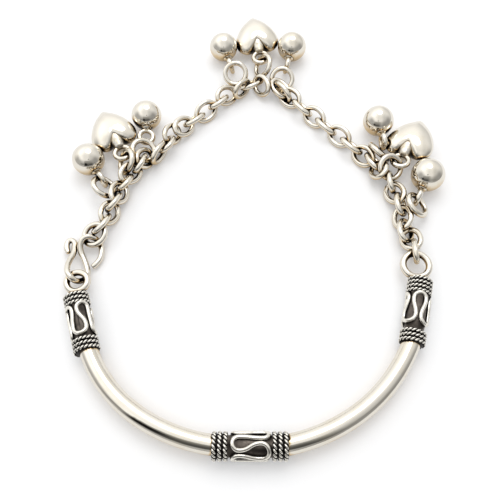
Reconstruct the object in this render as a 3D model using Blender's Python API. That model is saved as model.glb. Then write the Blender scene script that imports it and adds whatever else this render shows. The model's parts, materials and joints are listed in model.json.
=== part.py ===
"""Charm bangle: a half-round silver bar with three wirework sleeves, closed by a cable chain.

The bracelet lies flat on z = 0, fastened, with +Z up. +X runs from the hooked end to the other
end of the bar and +Y from the bar towards the chain. Sizes are in millimetres and are turned into
metres where a mesh is made. The rings are laid on their route and then nudged until no two wires
touch, as the loose rings of a real chain do.
"""
from collections import namedtuple
from math import cos, pi, radians, sin, sqrt

import bmesh
import bpy
import numpy as np
from mathutils import Matrix, Vector

MM = 0.001

# Bar and sleeves
BAR_RADIUS = 1.5
FRONT_BAR_RADIUS = 1.57
GROUND_RADIUS = 1.58
SLEEVE_RADIUS = 2.17
VALLEY_RADIUS = 1.76
RIM_RADIUS = 1.9
SLEEVE_LENGTH = 11.4
ROPE_WIRE = 0.77
STUB_LENGTH = 0.8
STUB_RADIUS = 1.2
STEP = 0.02
BAR_SIDES = 16
BAR_STEPS = 13
FRONT_Y = -33.95

# The bar's left and right arc between its straight sleeves. At the end sleeve's foot and at the
# front sleeve: how far inside the sleeve's axis the bar enters, the angle in degrees by which it
# turns inwards there, and the reach of that end of the curve
Arc = namedtuple("Arc", "foot_inset foot_angle foot_handle front_inset front_angle front_handle")
ARCS = (
    Arc(0.25, 6, 11.0, 0.2, 8, 5.5),
    Arc(0.15, 12, 4.5, 0.2, 12, 13.0),
)

# Meander wire on each sleeve
MEANDER_WIRE = 0.62
MEANDER_RADIUS = 1.84
MEANDER_SIDES = 5

# Rings: outer length, outer width and wire thickness
LINK_LENGTH = 5.5
LINK_WIDTH = 4.1
LINK_WIRE = 0.88
JUMP_DIAMETER = 5.25
JUMP_WIRE = 0.9
CLASP_RING_DIAMETER = 4.9
CLASP_RING_WIRE = 0.88
BALL_EYE_DIAMETER = 3.5
HEART_EYE_DIAMETER = 3.8
EYE_WIRE = 0.84
RING_STEPS = 12
WIRE_SIDES = 5
HOOK_WIRE = 0.9
HOOK_SIDES = 7

# Facets of a wire stand out by this factor, so that its flats don't thin it
FACET_SWELL = 1.05

# Charms
PEG_RADIUS = 0.5
BALL_EYE_GAP = 0.1
HEART_THICKNESS = 4.7
HEART_EYE_REACH = 4.1
LUG_RADIUS = 0.9

# Air that is kept between neighbouring wires, and between a wire and the table
CLEARANCE = 0.12
TABLE_GAP = 0.02

# The two ends of the bar: foot and head of the sleeve's axis, ropes beside the end ring, and the
# soldered ring with its centre, outer diameter, wire and the angle by which it is raised
End = namedtuple("End", "foot_x foot_y head_x head_y ropes ring_x ring_y ring_dia ring_wire lift")
ENDS = (
    End(-25.94, -19.7, -29.28, -9.83, 3, -29.45, -7.3, 4.5, 1.0, 0.0),
    End(26.0, -18.44, 29.1, -6.95, 4, 28.7, -4.2, 5.5, 1.06, 3.0),
)

# Meander wires: the turns that show on each sleeve (0 left, 1 front, 2 right), in the order the
# wire takes them. Degrees round the sleeve from its top, distance along it from its middle, and
# how many degrees the turn spans. The rest of the eight turns are spread evenly out of sight.
Turn = namedtuple("Turn", "sleeve angle reach span")
TURNS = (
    Turn(0, 55, 2.9, 58),
    Turn(0, 3, -2.3, 68),
    Turn(0, -30, 3.0, 58),
    Turn(0, -95, -2.4, 70),
    Turn(1, 55, 2.8, 54),
    Turn(1, 5, -2.6, 62),
    Turn(1, -34, 2.8, 78),
    Turn(1, -80, -2.6, 56),
    Turn(2, 92, 2.8, 60),
    Turn(2, 52, -2.5, 78),
    Turn(2, 0, 2.8, 62),
    Turn(2, -48, -2.5, 70),
    Turn(2, -105, 2.8, 58),
)
TURNS_IN_ALL = 8
HIDDEN_REACH = 2.6
HIDDEN_SPAN = 62

# The chain's links: place, and how each is turned from the chain's course, leant over about its
# long axis and raised at its far end, in degrees
Link = namedtuple("Link", "x y turn lean rise")
LINKS = (
    Link(-27.4, 4.7, 20, 45, -20),
    Link(-26.2, 6.6, 20, -45, -25),
    Link(-25.4, 8.8, 15, 60, -30),
    Link(-24.9, 11.0, 20, -45, -30),
    Link(-24.1, 13.4, 25, 50, -30),
    Link(-23.1, 15.1, 10, -40, -30),
    Link(-21.4, 17.2, 25, 50, -35),
    Link(-20.3, 19.0, 20, -45, -30),
    Link(-18.3, 20.5, 10, 70, -15),
    Link(-16.9, 22.8, 15, 45, -30),
    Link(-15.6, 24.9, 10, 125, -20),
    Link(-13.7, 27.1, 10, -30, -15),
    Link(-11.4, 29.0, 10, 45, -15),
    Link(-9.2, 31.1, 0, -45, 5),
    Link(-6.7, 33.7, 10, 45, -15),
    Link(-5.0, 35.5, 5, -35, -10),
    Link(-2.2, 37.1, 25, 90, -15),
    Link(0.1, 38.8, 25, 40, -10),
    Link(2.4, 38.1, -45, 130, 5),
    Link(6.1, 37.2, -35, 15, -15),
    Link(6.5, 36.2, -10, 85, 0),
    Link(8.2, 35.0, -5, -40, 10),
    Link(10.4, 32.2, -5, 45, 5),
    Link(12.8, 29.7, 0, -45, 0),
    Link(15.0, 27.3, -5, 45, 0),
    Link(17.5, 24.7, 0, -45, 0),
    Link(19.7, 22.4, 0, 45, 0),
    Link(21.8, 19.9, -15, -45, 15),
    Link(23.7, 18.5, -25, 50, 20),
    Link(24.5, 16.4, -15, -45, 20),
    Link(25.8, 13.0, -30, 50, 25),
    Link(26.9, 11.3, -15, -35, 30),
    Link(27.5, 8.7, -15, 50, 20),
    Link(27.9, 6.0, -10, -45, 15),
    Link(28.0, 2.8, -15, 30, 25),
    Link(28.5, 0.5, -15, -30, 30),
    Link(28.9, -1.4, -15, 80, 35),
)
LINK_HEIGHT = 1.6

# Charms: own place (a ball's centre, a heart's cleft), heading and rise of the line from charm to
# eye, the eye's roll, the charm's width, and its jump ring's centre and the slope of that ring's
# normal
Charm = namedtuple("Charm", "name x y heading rise roll size jump_x jump_y jump_z slope_x slope_y")
CHARMS = (
    Charm("ball_1", -30.7, 17.7, -51, -11, 90, 5.85, -27.1, 12.5, 1.7, 0.6, 0.4),
    Charm("heart_1", -26.5, 23.8, -60, 6, -5, 8.9, -23.5, 17.6, 2.3, -0.9, -0.2),
    Charm("ball_2", -21.0, 28.9, -89, -11, 10, 5.65, -20.3, 20.8, 2.0, 0.8, -0.1),
    Charm("ball_3", -5.9, 48.0, -70, -11, 80, 5.7, -3.1, 40.7, 2.2, 0.0, -0.6),
    Charm("heart_2", 1.4, 50.0, -80, -5, -5, 8.9, 2.5, 43.0, 2.3, -1.0, -0.3),
    Charm("ball_4", 8.8, 48.1, -104, -11, 100, 5.85, 6.5, 39.4, 1.9, 0.1, -0.5),
    Charm("ball_5", 25.1, 27.2, -86, -11, 90, 5.75, 24.8, 20.1, 1.8, 0.6, 0.4),
    Charm("heart_3", 30.7, 21.8, -118, -2, 0, 8.9, 26.7, 16.0, 2.1, 0.44, -0.45),
    Charm("ball_6", 33.15, 14.2, -114, -11, 90, 6.15, 30.1, 8.1, 1.8, 0.6, 0.0),
)

# Half outline of a heart from its tip to its cleft: along and across its axis
HEART_HALF = (
    (-7.1, 0.0), (-6.5, 0.95), (-4.9, 2.5), (-2.8, 3.8), (-0.6, 4.45), (1.1, 4.1), (2.05, 3.1),
    (2.2, 2.1), (1.5, 0.95), (0.1, 0.0),
)
HEART_MIDDLE = -1.9
HEART_LEVELS = (0.4, 0.75, 0.94, 1.0)

CLASP_RING_X = -27.6
CLASP_RING_Y = 2.4
CLASP_RING_HEIGHT = 1.6
CLASP_RING_SLOPE_X = -0.3
CLASP_RING_SLOPE_Y = -0.08

# Centre line of the S-hook, from its curled end through the end ring and the clasp ring
HOOK_ROUTE = (
    (-32.1, -1.3, 1.2), (-32.6, -0.2, 1.2), (-32.6, 0.8, 1.2), (-32.1, 1.3, 1.2),
    (-31.4, 0.9, 1.2), (-31.1, -0.2, 1.3), (-31.1, -1.6, 1.6), (-31.3, -3.1, 2.2),
    (-31.3, -4.7, 2.9), (-30.9, -6.1, 3.35), (-30.2, -7.0, 3.2), (-29.6, -7.2, 2.4),
    (-29.0, -6.8, 1.5), (-28.5, -6.1, 1.05), (-28.3, -5.1, 0.95), (-28.6, -3.9, 0.95),
    (-29.2, -2.5, 1.1), (-29.8, -1.3, 1.4), (-30.0, -0.2, 1.9), (-29.7, 0.8, 2.35),
    (-28.9, 1.4, 2.4), (-27.9, 1.5, 1.9), (-27.1, 1.1, 1.15), (-26.6, 0.1, 0.8),
    (-26.4, -1.1, 0.75), (-26.6, -2.3, 0.75), (-27.1, -3.2, 0.75), (-27.7, -3.8, 0.75),
)

SILVER = (0.78, 0.76, 0.71, 1.0)
OXIDISED_SILVER = (0.60, 0.58, 0.54, 1.0)


def clear_scene():
    """Remove every object that the file starts with."""
    for thing in list(bpy.data.objects):
        bpy.data.objects.remove(thing, do_unlink=True)


def silver_material(name, colour, roughness):
    """A polished metal with one base colour."""
    material = bpy.data.materials.new(name)
    material.use_nodes = True
    shader = material.node_tree.nodes["Principled BSDF"]
    shader.inputs["Base Color"].default_value = colour
    shader.inputs["Metallic"].default_value = 1.0
    shader.inputs["Roughness"].default_value = roughness
    return material


def smooth_curve(points, steps, closed=False):
    """Catmull-Rom curve through the points, with the given steps between each two."""
    points = np.asarray(points, float)
    count = len(points)
    spans = count if closed else count - 1
    out = []
    for span in range(spans):
        if closed:
            p0, p1, p2, p3 = (points[(span + k) % count] for k in (-1, 0, 1, 2))
        else:
            p0, p1, p2, p3 = (points[min(max(span + k, 0), count - 1)] for k in (-1, 0, 1, 2))
        for step in range(steps):
            t = step / steps
            out.append(0.5 * (2 * p1 + (p2 - p0) * t + (2 * p0 - 5 * p1 + 4 * p2 - p3) * t ** 2
                              + (3 * p1 - p0 - 3 * p2 + p3) * t ** 3))
    if not closed:
        out.append(points[-1])
    return np.array(out)


def sweep(path, radii, sides, closed=False, up=None, aims=None):
    """Tube of round sections along a path in millimetres, as a bmesh in metres.

    With `up` given, every section stands square to the path with one flat side down; otherwise
    the sections are carried along the path with the least turn. `aims` gives the directions that
    the sections face where they aren't the path's own.
    """
    path = np.asarray(path, float)
    count = len(path)
    radii = np.broadcast_to(np.asarray(radii, float), (count,))
    if aims is not None:
        tangents = np.array(aims, float)
    elif closed:
        tangents = np.roll(path, -1, axis=0) - np.roll(path, 1, axis=0)
    else:
        tangents = np.gradient(path, axis=0)
    tangents /= np.linalg.norm(tangents, axis=1)[:, None]
    start = np.array(up if up is not None else (0.0, 0.0, 1.0))
    if abs(tangents[0] @ start) > 0.9:
        start = np.array((0.0, 1.0, 0.0))
    normal = start - tangents[0] * (start @ tangents[0])
    normals = []
    for tangent in tangents:
        if up is not None:
            normal = np.array(up, float)
        normal = normal - tangent * (normal @ tangent)
        normal /= np.linalg.norm(normal)
        normals.append(normal)
    twist = 0.0
    if closed and up is None:
        first, last = normals[0], normals[-1]
        moved = last - tangents[0] * (last @ tangents[0])
        moved /= np.linalg.norm(moved)
        twist = np.arctan2(tangents[0] @ np.cross(moved, first), moved @ first)
    mesh = bmesh.new()
    rings = []
    for row in range(count):
        side = np.cross(tangents[row], normals[row])
        turn = twist * row / count
        ring = []
        for k in range(sides):
            angle = 2 * pi * (k + 0.5) / sides + turn
            offset = normals[row] * cos(angle) + side * sin(angle)
            ring.append(mesh.verts.new((path[row] + offset * radii[row]) * MM))
        rings.append(ring)
    for row in range(count if closed else count - 1):
        ring, following = rings[row], rings[(row + 1) % count]
        for k in range(sides):
            after = (k + 1) % sides
            mesh.faces.new((ring[k], ring[after], following[after], following[k]))
    if not closed:
        mesh.faces.new(rings[0])
        mesh.faces.new(rings[-1])
    bmesh.ops.recalc_face_normals(mesh, faces=mesh.faces)
    return mesh


def new_object(name, mesh, material):
    """Turn a bmesh into a named object that is shaded smooth up to a 40 degree edge."""
    data = bpy.data.meshes.new(name)
    mesh.to_mesh(data)
    mesh.free()
    data.materials.append(material)
    data.shade_smooth()
    data.set_sharp_from_angle(angle=radians(40))
    thing = bpy.data.objects.new(name, data)
    bpy.context.collection.objects.link(thing)
    return thing


def fuse(base, others):
    """Solder the other objects to the base: one closed solid in the base's own frame."""
    for other in others:
        union = base.modifiers.new("Solder", "BOOLEAN")
        union.operation = "UNION"
        union.solver = "EXACT"
        union.object = other
    bpy.context.view_layer.update()
    graph = bpy.context.evaluated_depsgraph_get()
    data = bpy.data.meshes.new_from_object(base.evaluated_get(graph), depsgraph=graph)
    base.modifiers.clear()
    base.data = data
    data.name = base.name
    for other in others:
        bpy.data.objects.remove(other, do_unlink=True)
    tidy = bmesh.new()
    tidy.from_mesh(data)
    bmesh.ops.remove_doubles(tidy, verts=tidy.verts, dist=0.00001)
    bmesh.ops.dissolve_degenerate(tidy, edges=tidy.edges, dist=0.00001)
    tidy.to_mesh(data)
    tidy.free()
    data.shade_smooth()
    data.set_sharp_from_angle(angle=radians(40))
    return base


def oval(length, width, steps):
    """Closed centre line of a ring in its own plane, long axis on X."""
    angles = np.linspace(0, 2 * pi, steps, endpoint=False)
    return np.stack([length / 2 * np.cos(angles), width / 2 * np.sin(angles), 0 * angles], axis=1)


def ring_mesh(length, width, wire, steps=RING_STEPS, sides=WIRE_SIDES):
    """Oval or round ring of round wire, given its outer size."""
    path = oval(length - wire, width - wire, steps)
    return sweep(path, wire / 2 * FACET_SWELL, sides, closed=True, up=(0, 0, 1))


def bezier(p0, p1, p2, p3, steps):
    """Points of a cubic Bezier curve, with its two ends."""
    p0, p1, p2, p3 = (np.array(p, float) for p in (p0, p1, p2, p3))
    t = np.linspace(0, 1, steps + 1)[:, None]
    return (1 - t) ** 3 * p0 + 3 * (1 - t) ** 2 * t * p1 + 3 * (1 - t) * t ** 2 * p2 + t ** 3 * p3


def sleeve_profile(length, first_ropes, last_ropes):
    """(distance, radius) stations of a sleeve: rope bands at both ends, plain ground between."""
    stations = [(0.0, RIM_RADIUS)]

    def band(start, ropes):
        for rope in range(ropes):
            for part in (0.0, 0.26, 0.74):
                bulge = sqrt(max(0.0, 1 - (2 * part - 1) ** 2)) * 1.12
                radius = VALLEY_RADIUS + (SLEEVE_RADIUS - VALLEY_RADIUS) * bulge
                distance = start + (rope + part) * ROPE_WIRE
                if distance > 0.03:
                    stations.append((distance, radius))
        stations.append((start + ropes * ROPE_WIRE, VALLEY_RADIUS))

    band(0.0, first_ropes)
    stations.append((first_ropes * ROPE_WIRE + 0.05, GROUND_RADIUS))
    stations.append((length - last_ropes * ROPE_WIRE - 0.05, GROUND_RADIUS))
    band(length - last_ropes * ROPE_WIRE, last_ropes)
    stations[-1] = (length, RIM_RADIUS)
    return stations


def sleeve_sections(foot, head, first_ropes, last_ropes):
    """Sections of one straight sleeve from its foot to its head, as (point, radius, aim)."""
    foot, head = np.array(foot, float), np.array(head, float)
    length = np.linalg.norm(head - foot)
    along = (head - foot) / length
    profile = sleeve_profile(length, first_ropes, last_ropes)
    return [(foot + along * distance, radius, along) for distance, radius in profile]


def arc_sections(foot, aim, arc, side):
    """Sections of the bar from an end sleeve's foot to the front sleeve, left of it for -1."""
    inward = side * np.array((-aim[1], aim[0]))
    start = foot + inward * arc.foot_inset - aim * STEP
    leave = inward * sin(radians(arc.foot_angle)) - aim * cos(radians(arc.foot_angle))
    end = np.array((side * (SLEEVE_LENGTH / 2 + STEP), FRONT_Y + arc.front_inset))
    reach = np.array((side * cos(radians(arc.front_angle)), sin(radians(arc.front_angle))))
    points = bezier(start, start + leave * arc.foot_handle, end + reach * arc.front_handle, end,
                    BAR_STEPS)
    aims = np.gradient(points, axis=0)
    aims[0] = -aim
    aims[-1] = (-side, 0.0)
    radii = np.linspace(BAR_RADIUS, FRONT_BAR_RADIUS, len(points))
    return list(zip(points, radii, aims))


def bar_sections():
    """The whole bar from its left head to its right head, as (point, radius, aim)."""
    left, right = ENDS
    half = SLEEVE_LENGTH / 2
    head_l, foot_l = np.array((left.head_x, left.head_y)), np.array((left.foot_x, left.foot_y))
    head_r, foot_r = np.array((right.head_x, right.head_y)), np.array((right.foot_x, right.foot_y))
    aim_l = (head_l - foot_l) / np.linalg.norm(head_l - foot_l)
    aim_r = (head_r - foot_r) / np.linalg.norm(head_r - foot_r)
    sections = [(head_l + aim_l * reach, STUB_RADIUS, -aim_l) for reach in (STUB_LENGTH, STEP)]
    sections += sleeve_sections(head_l, foot_l, left.ropes, 3)
    sections += arc_sections(foot_l, aim_l, ARCS[0], -1)
    sections += sleeve_sections((-half, FRONT_Y), (half, FRONT_Y), 3, 3)
    sections += [(point, radius, -aim)
                 for point, radius, aim in reversed(arc_sections(foot_r, aim_r, ARCS[1], 1))]
    sections += sleeve_sections(foot_r, head_r, 3, right.ropes)
    sections += [(head_r + aim_r * reach, STUB_RADIUS, aim_r) for reach in (STEP, STUB_LENGTH)]
    return sections


def sleeve_turns(sleeve):
    """All turns of a sleeve's meander wire as (angle, reach, span), falling round the sleeve."""
    turns = [(turn.angle, turn.reach, turn.span) for turn in TURNS if turn.sleeve == sleeve]
    first, last = turns[0], turns[-1]
    hidden = TURNS_IN_ALL - len(turns)
    step = (360 - (first[0] - last[0])) / (hidden + 1)
    for k in range(1, hidden + 1):
        side = -1 if (last[1] > 0) == (k % 2 == 1) else 1
        turns.append((last[0] - k * step, side * HIDDEN_REACH, HIDDEN_SPAN))
    return turns


def meander(middle, along, sleeve, steps):
    """Closed centre line of a meander wire wrapped round a sleeve."""
    along = np.array((along[0], along[1], 0.0)) / np.hypot(*along)
    side = np.cross((0, 0, 1), along)
    shape = ((0.5, 0.6), (0.29, 0.95), (-0.29, 0.95), (-0.5, 0.6))
    knots = []
    for angle, reach, span in sleeve_turns(sleeve):
        knots += [(angle + across * span, reach * up) for across, up in shape]
    knots = np.array(knots)
    knots[:, 0] = np.radians(knots[:, 0])
    wrapped = np.vstack([knots[-2:] + (2 * pi, 0), knots, knots[:2] - (2 * pi, 0)])
    course = smooth_curve(wrapped, steps)[2 * steps:(len(knots) + 2) * steps]
    points = []
    for angle, reach in course:
        round_ = np.array((0, 0, 1)) * cos(angle) + side * sin(angle)
        points.append(middle + along * reach + round_ * MEANDER_RADIUS)
    return np.array(points)


def build_bangle(material):
    """Bar, sleeves, meander wires and end rings, soldered into one solid."""
    sections = bar_sections()
    path = [(*point, SLEEVE_RADIUS) for point, _, _ in sections]
    aims = [(*aim, 0.0) for _, _, aim in sections]
    flat = cos(pi / BAR_SIDES)
    radii = [radius / flat for _, radius, _ in sections]
    bar = sweep(path, radii, BAR_SIDES, up=(0, 0, 1), aims=aims)
    bangle = new_object("bangle", bar, material)
    extras = []
    left, right = ENDS
    half = SLEEVE_LENGTH / 2
    spans = (((left.foot_x, left.foot_y), (left.head_x, left.head_y)),
             ((-half, FRONT_Y), (half, FRONT_Y)),
             ((right.foot_x, right.foot_y), (right.head_x, right.head_y)))
    for number, (foot, head) in enumerate(spans):
        foot, head = np.array(foot), np.array(head)
        middle = np.array((*(foot + head) / 2, SLEEVE_RADIUS))
        wire = sweep(meander(middle, head - foot, number, 2), MEANDER_WIRE / 2 * FACET_SWELL,
                     MEANDER_SIDES, closed=True)
        extras.append(new_object("meander_%d" % number, wire, material))
    for number, end in enumerate(ENDS):
        ring = new_object("end_ring_%d" % number,
                          ring_mesh(end.ring_dia, end.ring_dia, end.ring_wire, 14, 6), material)
        centre, turn = end_ring_pose(end)
        place(ring, centre, turn)
        extras.append(ring)
    return fuse(bangle, extras)


def end_ring_pose(end):
    """Centre and attitude of a soldered end ring."""
    heading = np.degrees(np.arctan2(end.head_y - end.foot_y, end.head_x - end.foot_x))
    centre = np.array((end.ring_x, end.ring_y,
                       SLEEVE_RADIUS + sin(radians(end.lift)) * end.ring_dia / 2))
    return centre, attitude(heading, 0.0, end.lift)


def tilted(slope_x, slope_y):
    """Rotation that tips a flat ring until its normal leans by the given slopes."""
    normal = np.array((slope_x, slope_y, 1.0))
    normal /= np.linalg.norm(normal)
    first = np.cross((0.0, 1.0, 0.0), normal)
    first /= np.linalg.norm(first)
    return np.column_stack([first, np.cross(normal, first), normal])


def attitude(heading, roll, pitch):
    """Rotation whose X axis points along the heading and is pitched up, then rolled about it."""
    turn = Matrix.Rotation(radians(heading), 3, "Z")
    turn = turn @ Matrix.Rotation(-radians(pitch), 3, "Y")
    return np.array(turn @ Matrix.Rotation(radians(roll), 3, "X"))


def place(thing, centre, turn):
    """Set an object's location, in millimetres, and its rotation."""
    thing.location = Vector(centre) * MM
    thing.rotation_euler = Matrix(turn.tolist()).to_euler()


def heart_outline():
    """Closed outline of a heart in its own plane, cleft by the origin and tip at -X."""
    half = np.array(HEART_HALF)
    return np.vstack([half, half[-2:0:-1] * (1, -1)])


def heart_mesh(thickness):
    """Puffed heart: the outline shrinks to a rounded oval as it swells to both sides."""
    outline = heart_outline()
    middle = np.array((HEART_MIDDLE, 0.0))
    spokes = outline - middle
    angles = np.arctan2(spokes[:, 1], spokes[:, 0])
    rounded = np.column_stack([4.4 * np.cos(angles), 4.0 * np.sin(angles)])
    mesh = bmesh.new()
    rings = []
    levels = [(level, 1) for level in HEART_LEVELS[:-1]] + [(1.0, 0)]
    levels += [(level, -1) for level in HEART_LEVELS[-2::-1]]
    for level, side in levels:
        swell = side * thickness / 2 * (1 - level ** 2.4) ** 0.55
        keep = level ** 1.5
        ring = middle + (spokes * keep + rounded * (1 - keep)) * level
        rings.append([mesh.verts.new((x * MM, y * MM, swell * MM)) for x, y in ring])
    top = mesh.verts.new((middle[0] * MM, 0, thickness / 2 * MM))
    bottom = mesh.verts.new((middle[0] * MM, 0, -thickness / 2 * MM))
    for k in range(len(outline)):
        after = (k + 1) % len(outline)
        mesh.faces.new((top, rings[0][k], rings[0][after]))
        mesh.faces.new((bottom, rings[-1][after], rings[-1][k]))
        for upper, lower in zip(rings, rings[1:]):
            mesh.faces.new((upper[k], lower[k], lower[after], upper[after]))
    bmesh.ops.recalc_face_normals(mesh, faces=mesh.faces)
    return mesh


def build_ball(name, diameter, material):
    """Ball with a short peg and a soldered eye, eye towards +X."""
    reach = ball_eye_reach(diameter)
    ball = bmesh.new()
    bmesh.ops.create_uvsphere(ball, u_segments=12, v_segments=8, radius=diameter / 2 * MM,
                              matrix=Matrix.Rotation(pi / 2, 4, "Y"))
    body = new_object(name, ball, material)
    inner = diameter / 2 - 0.5
    outer = reach - BALL_EYE_DIAMETER / 2 + EYE_WIRE / 2
    peg = new_object(name + "_peg", sweep([(inner, 0, 0), (outer, 0, 0)], PEG_RADIUS, 6), material)
    loop = ring_mesh(BALL_EYE_DIAMETER, BALL_EYE_DIAMETER, EYE_WIRE, 10)
    eye = new_object(name + "_eye", loop, material)
    eye.location = (reach * MM, 0, 0)
    return fuse(body, [peg, eye])


def build_heart(name, material):
    """Puffed heart with a solder lug in its cleft and a soldered eye, eye towards +X."""
    body = new_object(name, heart_mesh(HEART_THICKNESS), material)
    outer = HEART_EYE_REACH - HEART_EYE_DIAMETER / 2 + EYE_WIRE / 2
    lug = new_object(name + "_lug", sweep([(-0.8, 0, 0), (outer, 0, 0)], LUG_RADIUS, 6), material)
    loop = ring_mesh(HEART_EYE_DIAMETER, HEART_EYE_DIAMETER, EYE_WIRE, 12)
    eye = new_object(name + "_eye", loop, material)
    eye.location = (HEART_EYE_REACH * MM, 0, 0)
    return fuse(body, [lug, eye])


def ball_eye_reach(diameter):
    """Distance from a ball's centre to the centre of its eye."""
    return diameter / 2 + BALL_EYE_GAP + BALL_EYE_DIAMETER / 2


class Loose:
    """A rigid piece as points with radii: rings as their centre lines, balls as one point."""

    def __init__(self, name, centre, turn, points, radii, fixed=False):
        self.name = name
        self.centre = np.array(centre, float)
        self.turn = np.array(turn, float)
        self.points = np.asarray(points, float)
        self.radii = np.broadcast_to(np.asarray(radii, float), (len(self.points),))
        self.fixed = fixed
        self.home = self.centre.copy()
        self.home_turn = self.turn.copy()
        spread = np.linalg.norm(self.points, axis=1) + self.radii
        self.reach = spread.max()
        self.inertia = 0.6 * np.mean(np.sum(self.points ** 2, axis=1)) + 1.5

    def world(self):
        """Points in the bracelet's frame."""
        return self.centre + self.points @ self.turn.T

    def nudge(self, arm, push):
        """Move and turn by a push at the given arm from the centre."""
        self.centre += push
        self.turn = small_turn(np.cross(arm, push) / self.inertia) @ self.turn

    def give(self, arm, direction):
        """How far a unit push at the arm moves the piece there."""
        if self.fixed:
            return 0.0
        lever = np.cross(arm, direction)
        return 1.0 + lever @ lever / self.inertia


def small_turn(vector):
    """Rotation matrix of a rotation vector."""
    angle = np.linalg.norm(vector)
    if angle < 1e-12:
        return np.eye(3)
    x, y, z = vector / angle
    cross = np.array(((0, -z, y), (z, 0, -x), (-y, x, 0)))
    return np.eye(3) + sin(angle) * cross + (1 - cos(angle)) * cross @ cross


def separate(first, second):
    """Push two pieces apart at their two closest contacts; the worst overlap is returned."""
    one, two = first.world(), second.world()
    lines = one[:, None] - two[None]
    gaps = np.sqrt((lines ** 2).sum(axis=2)) - first.radii[:, None] - second.radii[None]
    worst = 0.0
    for _ in range(2):
        a, b = divmod(int(gaps.argmin()), gaps.shape[1])
        short = CLEARANCE - gaps[a, b]
        if short <= 0:
            break
        worst = max(worst, short)
        direction = lines[a, b] / np.linalg.norm(lines[a, b])
        arm_a, arm_b = one[a] - first.centre, two[b] - second.centre
        total = first.give(arm_a, direction) + second.give(arm_b, direction)
        if not first.fixed:
            first.nudge(arm_a, direction * short / total)
        if not second.fixed:
            second.nudge(arm_b, -direction * short / total)
        gaps[np.linalg.norm(one - one[a], axis=1) < 1.2] = 9.0
    return worst


def lift_off_table(piece):
    """Raise a piece's lowest point to the table."""
    points = piece.world()
    lows = points[:, 2] - piece.radii
    low = int(lows.argmin())
    short = TABLE_GAP - lows[low]
    if short > 0:
        up = np.array((0.0, 0.0, 1.0))
        arm = points[low] - piece.centre
        piece.nudge(arm, up * short / piece.give(arm, up))


def clear_wires(pieces, rounds=420, pull=0.08):
    """Nudge the loose pieces until all wires clear each other, near the places they start from."""
    pairs = []
    for a, first in enumerate(pieces):
        for second in pieces[a + 1:]:
            apart = np.linalg.norm(first.centre - second.centre)
            if apart < first.reach + second.reach + 0.6 and not (first.fixed and second.fixed):
                pairs.append((first, second))
    for step in range(rounds):
        strength = pull * max(0.0, 1 - step / (rounds * 0.6))
        for piece in pieces:
            if piece.fixed or strength == 0.0:
                continue
            piece.centre += strength * (piece.home - piece.centre)
            error = piece.home_turn @ piece.turn.T
            axis = 0.5 * np.array((error[2, 1] - error[1, 2], error[0, 2] - error[2, 0],
                                   error[1, 0] - error[0, 1]))
            piece.turn = small_turn(strength * axis) @ piece.turn
        worst = max([separate(first, second) for first, second in pairs])
        for piece in pieces:
            if not piece.fixed:
                lift_off_table(piece)
    return worst


def chain_links():
    """The chain's links on their course."""
    dx = np.gradient([link.x for link in LINKS])
    dy = np.gradient([link.y for link in LINKS])
    outline = oval(LINK_LENGTH - LINK_WIRE, LINK_WIDTH - LINK_WIRE, 28)
    links = []
    for k, link in enumerate(LINKS):
        heading = np.degrees(np.arctan2(dy[k], dx[k])) + link.turn
        links.append(Loose("link_%02d" % (k + 1), (link.x, link.y, LINK_HEIGHT),
                           attitude(heading, -link.lean, link.rise), outline, LINK_WIRE / 2))
    return links


def ring_loose(name, centre, turn, diameter, wire, fixed=False):
    """A round ring as a loose piece."""
    return Loose(name, centre, turn, oval(diameter - wire, diameter - wire, 28), wire / 2, fixed)


def charm_loose(charm):
    """A ball or a heart, with its eye, as a loose piece."""
    if charm.name.startswith("ball"):
        across = BALL_EYE_DIAMETER - EYE_WIRE
        solid, radii = [(0, 0, 0)], [charm.size / 2]
        eye = oval(across, across, 20) + (ball_eye_reach(charm.size), 0, 0)
        height = charm.size / 2 + TABLE_GAP
    else:
        across = HEART_EYE_DIAMETER - EYE_WIRE
        wide = charm.size
        solid = [(0, 0.25 * wide, 0), (0, -0.25 * wide, 0), (-0.22 * wide, 0, 0),
                 (-0.4 * wide, 0, 0), (-0.62 * wide, 0, 0)]
        radii = [0.25 * wide, 0.25 * wide, 0.26 * wide, 0.22 * wide, 0.15 * wide]
        eye = oval(across, across, 20) + (HEART_EYE_REACH, 0, 0)
        height = HEART_THICKNESS / 2 + TABLE_GAP
    points = np.vstack([solid, eye])
    radii = np.append(radii, np.full(len(eye), EYE_WIRE / 2))
    turn = attitude(charm.heading, -charm.roll, charm.rise)
    return Loose(charm.name, (charm.x, charm.y, height), turn, points, radii)


def lay_out():
    """Every ring and charm in its resting place, by name."""
    pieces = chain_links()
    for charm in CHARMS:
        pieces.append(charm_loose(charm))
        pieces.append(ring_loose("jump_ring_" + charm.name,
                                 (charm.jump_x, charm.jump_y, charm.jump_z),
                                 tilted(charm.slope_x, charm.slope_y), JUMP_DIAMETER, JUMP_WIRE))
    pieces.append(ring_loose("clasp_ring", (CLASP_RING_X, CLASP_RING_Y, CLASP_RING_HEIGHT),
                             tilted(CLASP_RING_SLOPE_X, CLASP_RING_SLOPE_Y),
                             CLASP_RING_DIAMETER, CLASP_RING_WIRE))
    for number, end in enumerate(ENDS):
        centre, turn = end_ring_pose(end)
        pieces.append(ring_loose("end_ring_%d" % number, centre, turn, end.ring_dia,
                                 end.ring_wire, fixed=True))
    hook = smooth_curve(HOOK_ROUTE, 2)
    pieces.append(Loose("s_hook", (0, 0, 0), np.eye(3), hook, HOOK_WIRE / 2, fixed=True))
    clear_wires(pieces)
    return {piece.name: piece for piece in pieces}


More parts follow.
